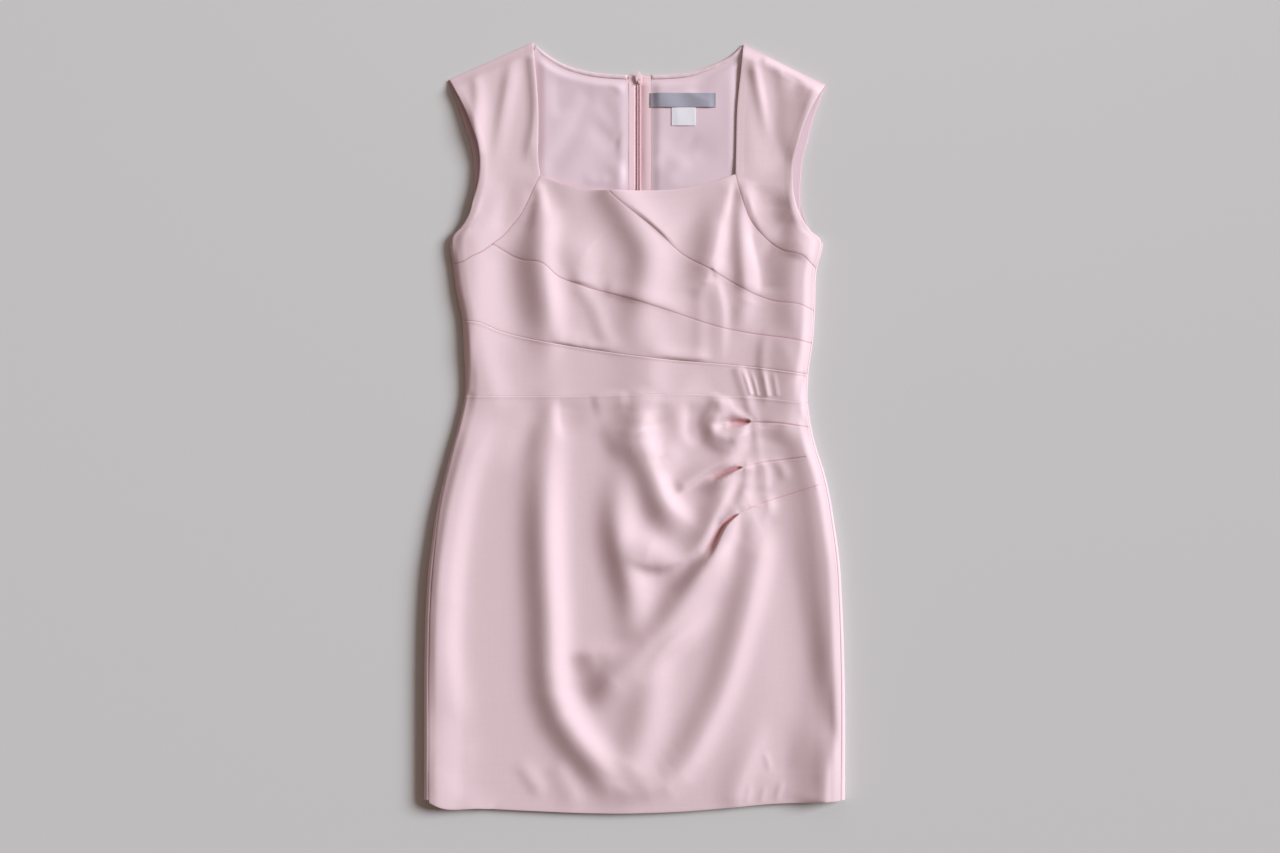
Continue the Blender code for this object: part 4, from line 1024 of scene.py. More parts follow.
class Recipe:
    """A material being made: nodes that end in one Principled shader."""

    def __init__(self, name: str) -> None:
        """Starts the material.

        Args:
            name: what the material is.
        """
        self.made = bpy.data.materials.new(name)
        self.made.use_nodes = True
        self.shader = self.made.node_tree.nodes["Principled BSDF"]
        self.place = self.node("TexCoord").outputs["Object"]

    def fill(self, node: bpy.types.Node, inputs: dict[Any, Any]) -> None:
        """Links or sets inputs of a node.

        Args:
            node: the node.
            inputs: a socket to link, or a value to set, for each input.
        """
        for key, value in inputs.items():
            if isinstance(value, bpy.types.NodeSocket):
                self.made.node_tree.links.new(value, node.inputs[key])
            else:
                node.inputs[key].default_value = value

    def node(self, kind: str, inputs: dict[Any, Any] | None = None,
             **settings: Any) -> bpy.types.Node:
        """Adds a node.

        Args:
            kind: the end of its type's name.
            inputs: a socket to link, or a value to set, for each input.
            settings: the node's own settings.

        Returns:
            The new node.
        """
        node = self.made.node_tree.nodes.new("ShaderNode" + kind)
        for name, value in settings.items():
            setattr(node, name, value)
        self.fill(node, inputs or {})
        return node

    def math(self, operation: str, *values: Any) -> bpy.types.NodeSocket:
        """A number worked out from sockets or numbers."""
        return self.node("Math", dict(enumerate(values)), operation=operation).outputs[0]

    def noise(self, place: bpy.types.NodeSocket, scale: float, detail: float,
              roughness: float = 0.5) -> bpy.types.NodeSocket:
        """A noise's value at a place."""
        return self.node("TexNoise", {"Vector": place, "Scale": scale, "Detail": detail,
                                      "Roughness": roughness}).outputs["Fac"]

    def mix(self, share: Any, low: Any, high: Any) -> bpy.types.NodeSocket:
        """A colour between two."""
        return self.node("Mix", {0: share, 6: low, 7: high}, data_type="RGBA").outputs[2]

    def spread(self, value: bpy.types.NodeSocket, limits: Sequence[float],
               middle: float, either_way: float) -> bpy.types.NodeSocket:
        """A number that varies either way of its middle as a value runs between limits."""
        return self.node("MapRange", {"Value": value, "From Min": limits[0],
                                      "From Max": limits[1], "To Min": middle - either_way,
                                      "To Max": middle + either_way}).outputs[0]

    def bump(self, height: bpy.types.NodeSocket, strength: float,
             distance_mm: float) -> bpy.types.NodeSocket:
        """The normal of a surface with a fine relief."""
        return self.node("Bump", {"Strength": strength, "Distance": distance_mm * MM,
                                  "Height": height}).outputs[0]


@dataclass(frozen=True)
class WovenCloth:
    """A woven cloth whose threads, slubs and tone vary, with painted shade inside its seams and
    creases.
    """

    name: str
    colour: str
    painted_shade_colour: str  # painted shade inside seams and pockets, where light reaches it only off more cloth
    warp_mm: float  # spacing of the lengthwise threads
    weft_mm: float
    roughness: float
    sheen: float
    sheen_roughness: float
    bump_mm: float
    slub: float  # how strongly single threads show
    tone: float  # how strongly broad patches differ
    anisotropic: float = 0.0
    specular: float = 0.22
    slub_scales: Rows = ((30.0, 620.0, 200.0), (560.0, 26.0, 200.0))  # across and along

    def material(self) -> bpy.types.Material:
        """Builds the cloth's material.

        Returns:
            The material.
        """
        recipe = Recipe(self.name)
        place = recipe.place
        axes = recipe.node("SeparateXYZ", {0: place}).outputs
        warp, weft = (recipe.math("SINE", recipe.math("MULTIPLY", axes[axis],
                                                      2 * math.pi / (spacing * MM)))
                      for axis, spacing in (("X", self.warp_mm), ("Y", self.weft_mm)))
        weave = recipe.math("MULTIPLY", warp, weft)
        ways = (recipe.node("Mapping", {"Vector": place, "Scale": scale}).outputs[0]
                for scale in self.slub_scales)
        picks, ends = (recipe.noise(way, 1.0, 3.0, 0.6) for way in ways)
        slubs = recipe.node("Mix", {0: 0.5, 2: picks, 3: ends}, data_type="FLOAT").outputs[0]
        grain = recipe.noise(place, 900.0, 2.0, 0.6)
        patches = recipe.noise(place, 7.0, 4.0, 0.55)
        light, dark = self.shades()
        face = recipe.mix(0.5, recipe.mix(slubs, dark[0], light[0]),
                          recipe.mix(patches, dark[1], light[1]))
        # Painted shade: each vertex's share of shade mixes the base colour towards the shade
        # colour.
        painted_shade = recipe.node("Attribute", attribute_name="painted_shade").outputs["Fac"]
        relief = recipe.math("MULTIPLY_ADD", slubs, 1.2,
                             recipe.math("MULTIPLY_ADD", weave, 0.35, grain))
        recipe.fill(recipe.shader, {
            "Base Color": recipe.mix(painted_shade, face, linear(self.painted_shade_colour)),
            "Roughness": recipe.spread(slubs, (0.3, 0.7), self.roughness, 0.06),
            "Normal": recipe.bump(relief, 0.6, self.bump_mm),
            "Sheen Weight": self.sheen, "Sheen Roughness": self.sheen_roughness,
            "Specular IOR Level": self.specular, "IOR": 1.46, "Anisotropic": self.anisotropic})
        return recipe.made

    def shades(self) -> tuple[list[tuple[float, ...]], list[tuple[float, ...]]]:
        """The lighter and darker colours between which slubs and patches vary."""
        base = np.array(linear(self.colour)[:3])
        shares = (self.slub, self.tone)
        light = [(*np.clip(base * (1.0 + s), 0.0, 1.0), 1.0) for s in shares]
        dark = [(*np.clip(base * (1.0 - s), 0.0, 1.0), 1.0) for s in shares]
        return light, dark


@dataclass(frozen=True)
class PlainFinish:
    """Moulded nylon or lacquered metal, with small changes of gloss and colour."""

    name: str
    colour: str
    worn_colour: str
    roughness: float
    metallic: float
    ior: float
    grain_mm: float
    coat: float = 0.0

    def material(self) -> bpy.types.Material:
        """Builds the finish.

        Returns:
            The material.
        """
        recipe = Recipe(self.name)
        grain = recipe.noise(recipe.place, 1.0 / (self.grain_mm * MM), 3.0)
        wear = recipe.spread(grain, (0.5, 0.8), 0.5, 0.5)
        recipe.fill(recipe.shader, {
            "Base Color": recipe.mix(wear, linear(self.colour), linear(self.worn_colour)),
            "Roughness": recipe.spread(grain, (0.0, 1.0), self.roughness, 0.08),
            "Normal": recipe.bump(grain, 0.3, 0.02),
            "Metallic": self.metallic, "IOR": self.ior, "Coat Weight": self.coat})
        return recipe.made


# Polyester crepe suiting: matt with a faint sheen, its crosswise threads just showing. The real
# threads are about 0.35 mm apart; they are drawn at 0.9 mm so that they show at all.
# Its second colour is the painted shade of its seams, tuck lines and tucks' mouths.
CREPE = WovenCloth("woven crepe suiting", "#E4CACD", "#CF777B", 0.9, 0.9, 0.74, 0.10, 0.5,
                   0.12, 0.09, 0.04)
# Acetate satin lining: smooth floats, so soft bright patches wherever it turns to the light.
SATIN = WovenCloth("satin lining", "#E4CCD2", "#B98890", 0.5, 0.8, 0.36, 0.05, 0.3,
                   0.03, 0.03, 0.03, anisotropic=0.4, specular=0.4)
# Woven polyester zip tape, matt and a little deeper in colour than the crepe.
TAPE = WovenCloth("woven zip tape", "#EFCED2", "#B97F87", 0.9, 0.7, 0.70, 0.05, 0.5,
                  0.06, 0.03, 0.02)
# Grey satin ribbon of the neck label.
GREY_RIBBON = WovenCloth("grey satin ribbon", "#A5A3AE", "#5F5D68", 0.5, 0.9, 0.38, 0.05, 0.3,
                         0.06, 0.08, 0.03, anisotropic=0.3)
# White satin ribbon of the care label.
WHITE_RIBBON = WovenCloth("white satin ribbon", "#E9E6EA", "#B9B6BC", 0.5, 0.9, 0.45, 0.05, 0.3,
                          0.05, 0.03, 0.02)
# Sewing thread in the cloth's pink.
THREAD = PlainFinish("spun polyester thread", "#D9A4AD", "#E7BDC4", 0.6, 0.0, 1.5, 0.4)
DARK_THREAD = PlainFinish("dark thread", "#6A4A50", "#7C5A60", 0.6, 0.0, 1.5, 0.4)
# Monofilament nylon of the zip's coil: smooth and slightly glossy.
NYLON = PlainFinish("nylon coil", "#EBBDC4", "#F2CFD4", 0.36, 0.0, 1.53, 0.6)
# Zinc alloy slider under pink enamel.
ENAMEL = PlainFinish("enamelled zinc", "#F1D3D6", "#F6E0E1", 0.32, 0.0, 1.5, 0.8, coat=0.4)


# ---------------------------------------------------------------- the panels


@dataclass(frozen=True)
class ClothFace:
    """What makes a cut piece into a visible one: its edges' finish and its flat cut."""

    node: str
    edges: tuple[Edge, Edge, Edge, Edge]  # bottom, top, left, right
    flat: tuple[float, float]  # width and length of the cut, metres
    area: float
    rests_on: tuple[str, ...] = ()


@dataclass(frozen=True)
class Pressing:
    """How cloth sinks along an edge and thickens where it is doubled, and the painted shade along
    it.
    """

    strokes: Rows = ()  # height, distance from the edge and width
    margin: tuple[float, float, float] = (0.0, 1.0, 1.0)  # height, depth and softness
    painted_shade: tuple[float, float] = (0.0, 1.0)  # depth of painted shade and width


PRESSINGS = {
    Edge.SEAM: Pressing(((-0.24, 0.0, 1.0), (-0.12, 0.0, 4.0)), painted_shade=(0.25, 0.8)),
    Edge.LIP: Pressing(((0.50, 1.3, 1.2), (-0.15, 0.0, 0.6))),
    Edge.LEVEL: Pressing(),
    Edge.SIDE: Pressing(((-0.20, 0.0, 1.2),), painted_shade=(0.08, 1.0)),
    Edge.TURNED: Pressing(((-0.35, 0.0, 0.9),), margin=(0.12, 10.0, 3.0)),
    Edge.HEM: Pressing(((-0.30, 0.0, 1.0),), margin=(0.16, 38.6, 1.6)),
}


def pressed(points: Points, lines: Sequence[Points],
            kinds: Sequence[Edge]) -> tuple[Points, Points]:
    """How the cloth sinks at its edges.

    Args:
        points: plane points of the piece.
        lines: its four edges.
        kinds: how each edge is finished.

    Returns:
        The height to add along the normal, and the painted shade of each point in a seam, 0 to 1.
    """
    added, painted_shade = np.zeros(len(points)), np.zeros(len(points))
    for line, kind in zip(lines, kinds):
        away, pressing = nearest(points, line)[0], PRESSINGS[kind]
        height, depth, softness = pressing.margin
        added += height * smooth((depth - away) / softness)
        for row in pressing.strokes:
            added += stroke(away, *row)
        # Painted shade along the seam line.
        colour, width = pressing.painted_shade
        painted_shade = np.maximum(painted_shade, stroke(away, colour, 0.0, width))
    return added, painted_shade


@dataclass(frozen=True)
class SeamLines:
    """The lines that divide the front, each from the right side to the left."""

    strap_right: Rows = ((-113, 303), (-115, 317), (-115, 352), (-115, 382), (-117, 412),
                         (-122, 463))
    strap_left: Rows = ((121, 304), (122, 346), (123, 382), (127, 424), (131, 461))
    neck_right: Rows = ((-113, 303), (-91, 294), (-71, 289), (-53, 285), (-32, 284))
    neck_left: Rows = ((-32, 284), (11, 284), (60, 287), (92, 294), (121, 304))
    yoke_right_low: Rows = (RIGHT_SIDE.point(196), (-205, 199), (-195, 205), (-184, 210),
                            (-170, 220))
    yoke_right_high: Rows = ((-170, 220), (-157, 231), (-147, 243), (-138, 254), (-130, 268),
                             (-123, 283), (-113, 303))
    yoke_left: Rows = ((121, 304), (129, 274), (140, 248), (156, 229), (176, 213), (201, 205),
                       LEFT_SIDE.point(191))
    bust: Rows = ((-32, 284), (-21, 274), (1, 256), (25, 237), (60, 206), (95, 187), (137, 163),
                  (166, 152), (199, 147), LEFT_SIDE.point(140))
    midriff: Rows = ((-170, 220), (-138, 202), (-109, 196), (-91, 181), (-65, 171), (-20, 158),
                     (44, 139), (108, 119), (140, 113), (189, 106), LEFT_SIDE.point(101))
    low: Rows = (RIGHT_SIDE.point(128), (-191, 127), (-159, 115), (-123, 106), (-79, 98),
                 (28, 83), (140, 73), LEFT_SIDE.point(64))
    waist: Rows = (RIGHT_SIDE.point(38), (-88, 38), (7, 40), (44, 41), (118, 38), (157, 35),
                   LEFT_SIDE.point(30))
    hem: Rows = (RIGHT_SIDE.point(-449), (-233, -455), (-185, -457), (-125, -460), (-41, -463),
                 (55, -461), (127, -455), (160, -452), (199, -450), LEFT_SIDE.point(-447))

    def line(self, name: str) -> Points:
        """One of the lines as a polyline."""
        return Curve(getattr(self, name)).line()


@dataclass(frozen=True)
class FrontPanels:
    """The seven pieces of the front, laid over one relief."""

    relief: Relief = Relief()
    seams: SeamLines = SeamLines()
    wall: float = 1.4
    gap: float = 0.14
    spacing: float = 2.7
    skirt_spacing: float = 3.0
    quick_spacing: float = 5.5
    rounding: float = 0.25
    seam_stations: tuple[float, ...] = (0.0, 0.5, 1.1, 2.0, 3.4)
    roll_stations: tuple[float, ...] = (0.0, 0.6, 1.3, 2.1, 3.0, 4.1, 5.4, 7.0, 9.0, 11.5)
    hem_depth: float = 38.0
    underarm_corner: tuple[float, float] = (50.0, 125.0)  # how far in and up the left yoke's is
    pocket_shade: float = 0.95  # how much painted shade fills a tuck's mouth
    tuck_line_shade: tuple[float, float] = (0.20, 1.1)  # depth of painted shade and width along the stitched line
    near_tuck: float = 5.0  # how near the tucks, their mouths and the pleats the mesh is finer
    near_mouth: float = 5.0
    near_pleat: float = 6.0

    def edges(self) -> dict[str, tuple[Points, Points, Points, Points]]:
        """The four edges of each piece: bottom, top, left and right.

        Returns:
            Polylines by node.
        """
        line = self.seams.line
        right, left = RIGHT_SIDE, LEFT_SIDE
        outer_right, outer_left = right.rows(196, 418), left.rows(191, 412)
        neck_right, neck_left = line("strap_right")[-1], line("strap_left")[-1]
        return {
            "front_yoke_right": (
                joined(line("yoke_right_low"), line("yoke_right_high")),
                np.stack([outer_right[-1], neck_right]), outer_right, line("strap_right")),
            "front_yoke_left": (
                line("yoke_left"), np.stack([neck_left, outer_left[-1]]),
                line("strap_left"), outer_left),
            "front_bust_upper": (
                line("bust"), line("yoke_left"), line("neck_left"), left.rows(140, 191)),
            "front_bust_main": (
                line("midriff"), joined(line("neck_right"), line("bust")),
                line("yoke_right_high"), left.rows(101, 140)),
            "front_midriff_upper": (
                line("low"), joined(line("yoke_right_low"), line("midriff")),
                right.rows(128, 196), left.rows(64, 101)),
            "front_midriff_lower": (
                line("waist"), line("low"), right.rows(38, 128), left.rows(30, 64)),
            "front_skirt": (
                line("hem"), line("waist"), right.rows(-449, 38), left.rows(-447, 30)),
        }

    def faces(self) -> tuple[ClothFace, ...]:
        """The finish and the cut of each piece.

        Returns:
            One entry a piece.
        """
        seam, turned_edge, hem = Edge.SEAM, Edge.TURNED, Edge.HEM
        side, lip, level = Edge.SIDE, Edge.LIP, Edge.LEVEL
        bodice = ("back_bodice_right_crepe", "back_bodice_left_crepe")
        skirt = ("back_skirt_right_crepe", "back_skirt_left_crepe")
        return (
            ClothFace("front_yoke_right", (seam, seam, turned_edge, turned_edge),
                      (0.12, 0.28), 0.0215, bodice[:1]),
            ClothFace("front_yoke_left", (seam, seam, turned_edge, turned_edge),
                      (0.12, 0.27), 0.0205, bodice[1:]),
            ClothFace("front_bust_upper", (seam, seam, turned_edge, side),
                      (0.20, 0.20), 0.0185, bodice),
            ClothFace("front_bust_main", (seam, seam, seam, side), (0.40, 0.21), 0.036, bodice),
            ClothFace("front_midriff_upper", (seam, seam, side, side), (0.45, 0.12), 0.029,
                      bodice),
            ClothFace("front_midriff_lower", (level, lip, side, side), (0.43, 0.10), 0.027,
                      bodice),
            ClothFace("front_skirt", (hem, lip, side, side), (0.56, 0.56), 0.27, skirt),
        )

    def build(self, made_of: bpy.types.Material,
              thread: bpy.types.Material) -> list[bpy.types.Object]:
        """Builds every piece and puts it in place of its solid.

        Args:
            made_of: the cloth.
            thread: the thread of the hem.

        Returns:
            The pieces.
        """
        edges = self.edges()
        pieces = []
        for face in self.faces():
            spacing = self.skirt_spacing if face.node == "front_skirt" else self.spacing
            spacing = spacing
            lines = edges[face.node]
            bottom, top, left, right = lines
            start = self.roll_stations if self.is_side(left) else self.seam_stations
            end = self.roll_stations if self.is_side(right) else self.seam_stations
            start = np.multiply(start, slant(left, bottom, top))
            end = np.multiply(end, slant(right, bottom[::-1], top[::-1]))
            low = np.multiply(self.seam_stations, slant(bottom, left, right))
            high = np.multiply(self.seam_stations, slant(top, left[::-1], right[::-1]))
            across = stations(length_of(bottom), start, end, spacing)
            up = stations(max(length_of(left), length_of(right)), low, high, spacing)
            grid = filled(*lines, across, up)
            if face.node == "front_yoke_left":
                grid = evened(grid, across * length_of(bottom), up * length_of(right),
                              *self.underarm_corner)
            grid = drawn_in(grid, self.gap / 2)
            bm = grid_mesh(grid)
            if face.node == "front_skirt":
                mouths = [Curve(pocket.crest).line() for pocket in POCKETS]
                refine(bm, [*(tuck.path for tuck in TUCKS), *mouths], self.near_tuck,
                       2)
                refine(bm, mouths, self.near_mouth, 1)
            elif face.node == "front_midriff_lower":
                refine(bm, [Curve(pleat.crest).line() for pleat in PLEATS], self.near_pleat, 1)
            painted_shade = self.shape(bm, lines, face.edges)
            obj = finished(bm, face.node + "_crepe", made_of, painted_shade)
            give_wall(obj, self.wall, self.rounding)
            stands_for(obj, face.node, "crepe")
            on_it = [self.hem_picks(thread)] if face.node == "front_skirt" else []
            list(face.rests_on)
            pieces += [obj, *on_it]
        return pieces

    def hem_picks(self, made_of: bpy.types.Material) -> bpy.types.Object:
        """The picks of the blind stitches that hold the hem up.

        Args:
            made_of: their thread.

        Returns:
            The piece.
        """
        line = self.seams.line("hem")[3:-3] + [0.0, self.hem_depth]
        return stitch_row("front_hem_picks", line, self.relief.heights, 9.0, 0.8, 0.25, made_of)

    def is_side(self, line: Points) -> bool:
        """Whether an edge lies on the rolled side of the dress."""
        return bool(np.ptp(line[:, 1]) > 30.0 and np.abs(line[:, 0]).min() > 180.0)

    def shape(self, bm: bmesh.types.BMesh, lines: Sequence[Points],
              kinds: Sequence[Edge]) -> Points:
        """Lifts a flat piece onto the relief and presses its edges in.

        Args:
            bm: the flat piece.
            lines: its edges.
            kinds: how each is finished.

        Returns:
            The painted shade of each vertex in a seam, a tuck's stitched line or a pocket.
        """
        flat = plane_points(bm)
        normal = upright(flat, self.relief.heights)
        added, painted_shade = pressed(flat, lines, kinds)
        outer = np.concatenate([flat, self.relief.heights(flat)[:, None]], axis=1)
        outer += added[:, None] * normal
        for vertex, place in zip(bm.verts, outer):
            vertex.co = place
        # Painted shade inside the tucks' mouths and along their stitched lines.
        for pocket in POCKETS:
            painted_shade = np.maximum(painted_shade, self.pocket_shade * pocket.reach(flat)[0])
        colour, width = self.tuck_line_shade
        for tuck in TUCKS:
            away, share, _ = nearest(flat, tuck.path)
            line = smooth((1.0 - share) / 0.03) * stroke(away, colour, 0.0, width)
            painted_shade = np.maximum(painted_shade, line)
        return painted_shade


@dataclass(frozen=True)
class BackPanels:
    """The back bodice and skirt, each in two halves that meet at the centre back seam."""

    wall: float = 1.4
    gap: float = 0.3
    spacing: float = 4.0
    rounding: float = 0.25
    waist: float = 34.0
    waist_at_side: tuple[float, float] = (37.5, 29.5)
    hem_at_side: tuple[float, float] = (-446.0, -446.5)
    hem_right: Rows = ((5, -457), (-120, -454))
    hem_left: Rows = ((5, -457), (120, -452))
    seam_stations: tuple[float, ...] = (0.0, 0.6, 1.3, 2.4, 4.0)
    curl_stations: tuple[float, ...] = (0.0, 0.8, 1.8, 3.0, 4.3, 5.7, 7.2, 8.8, 10.5, 12.3, 14.2,
                                        16.2, 18.5, 21.0, 24.0)
    turning: Rows = ((5.2, 1.55), (5.3, 2.1), (4.6, 2.6), (3.2, 2.85), (1.8, 2.85), (0.8, 2.5),
                     (0.2, 1.9), (0.2, 1.55))  # its section: how far in, and the height
    turning_from: tuple[float, float] = (12.9, 15.0)  # where it starts, right and left
    creases: tuple[Fold, ...] = folds(
        ("back_waist_right", -1.0, 10, 14, 0.2, 0.3, ((-60, 110), (-70, 40), (-64, -70))),
        ("back_waist_left", -1.1, 12, 10, 0.2, 0.3, ((66, 120), (80, 30), (74, -90))),
        ("back_drape_right", -0.9, 20, 24, 0.3, 0.3, ((-120, -60), (-135, -220), (-120, -400))),
        ("back_drape_left", -0.9, 24, 20, 0.3, 0.3, ((110, -40), (140, -200), (128, -390))),
        ("back_shoulder_right", -0.8, 12, 16, 0.3, 0.4, ((-150, 400), (-120, 320), (-90, 250))),
        ("back_shoulder_left", -0.8, 16, 12, 0.3, 0.4, ((160, 395), (128, 310), (110, 240))),
    )

    def build(self, made_of: bpy.types.Material) -> list[bpy.types.Object]:
        """Args:
            made_of: the cloth.

        Returns:
            The pieces.
        """
        pieces = []
        for index, line in enumerate((RIGHT_SIDE, LEFT_SIDE)):
            word = line.side.name.lower()
            tip, neck_point = SHOULDERS[line.side]
            ends = {y: np.array([float(line.unrolled_end(np.array(y))), y])
                    for y in (tip[1], self.waist_at_side[index], self.hem_at_side[index])}
            top = joined(Curve(BACK_NECKS[line.side]).line(),
                         np.stack([np.array(neck_point), ends[tip[1]]]))
            waist = np.stack([np.array([CENTRE_BACK, self.waist]),
                              ends[self.waist_at_side[index]]])
            hem_points = (self.hem_right, self.hem_left)[index]
            hem = Curve((*hem_points, ends[self.hem_at_side[index]])).line()
            bodice = ClothFace("back_bodice_" + word,
                               (Edge.SEAM, Edge.TURNED, Edge.SIDE, Edge.SIDE),
                               (0.25, 0.44), 0.088)
            skirt = ClothFace("back_skirt_" + word, (Edge.HEM, Edge.SEAM, Edge.SIDE, Edge.SIDE),
                              (0.27, 0.50), 0.125)
            turning = self.neck_turning(line, made_of)
            pieces.append(self.panel(line, bodice, waist, top, made_of, [turning]))
            pieces.append(turning)
            pieces.append(self.panel(line, skirt, hem, waist, made_of, []))
        return pieces

    def panel(self, line: SideLine, face: ClothFace, bottom: Points, top: Points,
              made_of: bpy.types.Material,
              on_it: list[bpy.types.Object]) -> bpy.types.Object:
        """One half piece, between the centre seam and the curled side.

        Args:
            line: the side that it curls up to.
            face: its edges and its cut.
            bottom: its lower edge, from the centre out.
            top: its upper edge, from the centre out.
            made_of: the cloth.
            on_it: not used.

        Returns:
            The piece.
        """
        spacing = self.spacing * 1.0
        ys = np.linspace(bottom[-1][1], top[-1][1], 300)
        centre = np.stack([bottom[0], top[0]])
        edge = np.stack([line.unrolled_end(ys), ys], axis=-1)
        across = stations(length_of(bottom), self.seam_stations, self.curl_stations, spacing)
        up = stations(length_of(centre), self.seam_stations, self.seam_stations, spacing)
        lines = line.from_left(bottom, top, centre, edge)
        if line.side is Side.RIGHT:
            across = 1.0 - across[::-1]
        grid = drawn_in(filled(*lines, across, up), self.gap / 2)
        bm = grid_mesh(grid)
        flat = plane_points(bm)
        # The pressings also give the painted shade along the back's seams.
        added, painted_shade = pressed(flat, lines, face.edges)
        added = np.minimum(added, 0.0)
        fades = smooth((np.abs(line.flat_end(flat[:, 1])) - np.abs(flat[:, 0])) / 20.0)
        for fold in self.creases:
            added += fold.heights(flat) * fades
        for vertex, place in zip(bm.verts, self.curled(flat, line, added)):
            vertex.co = place
        bmesh.ops.reverse_faces(bm, faces=bm.faces)
        obj = finished(bm, face.node + "_crepe", made_of, painted_shade)
        give_wall(obj, self.wall, self.rounding)
        stands_for(obj, face.node, "crepe")
        return obj

    def neck_turning(self, line: SideLine, made_of: bpy.types.Material) -> bpy.types.Object:
        """The margin turned in along the back neck, a soft roll on the inside of the back.

        Args:
            line: the side.
            made_of: the cloth.

        Returns:
            The piece.
        """
        path = Curve(BACK_NECKS[line.side]).line(1.5)
        start = self.turning_from[line.side is Side.LEFT]
        path = path[np.abs(path[:, 0] - CENTRE_BACK) > start][:-3]
        shares = np.linspace(0.0, 1.0, len(path))
        inward = -line.side.value * turned(np.gradient(path, axis=0))
        section = np.array([*self.turning, self.turning[0]])
        bm = grid_mesh(path[None] + section[:, :1, None] * inward[None])
        low = section[0, 1]
        taper = smooth((1.02 - shares) / 0.12) * smooth((shares + 0.03) / 0.06)
        uneven = 1.0 + 0.10 * np.sin(shares * 23.0) + 0.06 * np.sin(shares * 57.0 + 1.0)
        rises = low + (section[:, 1:] - low) * (taper * uneven)[None]
        for vertex in bm.verts:
            row, column = divmod(vertex.index, len(path))
            vertex.co.z = rises[row, column]
        bmesh.ops.remove_doubles(bm, verts=bm.verts, dist=0.01)
        bmesh.ops.holes_fill(bm, edges=bm.edges, sides=12)
        bmesh.ops.recalc_face_normals(bm, faces=bm.faces)
        name = f"back_bodice_{line.side.name.lower()}_neck_turning"
        obj = finished(bm, name, made_of, np.zeros(len(bm.verts)))
        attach(obj, "dress")
        return obj

    def curled(self, flat: Points, line: SideLine, added: Points) -> Points:
        """The outer face's points, the flat cloth curled up along the side.

        Args:
            flat: plane points of the cloth laid out.
            line: the side.
            added: how far each point stands out of the surface.

        Returns:
            Points in space.
        """
        x, y = flat[:, 0], flat[:, 1]
        radius = line.radius(y)
        start = line.flat_end(y)
        turn = np.maximum(line.side.value * (x - start), 0.0) / radius
        r = radius + added
        across = np.where(turn > 0.0, start + line.side.value * r * np.sin(turn), x)
        return np.stack([across, y, radius - r * np.cos(turn)], axis=-1)


# ---------------------------------------------------------------- lining, labels and zip


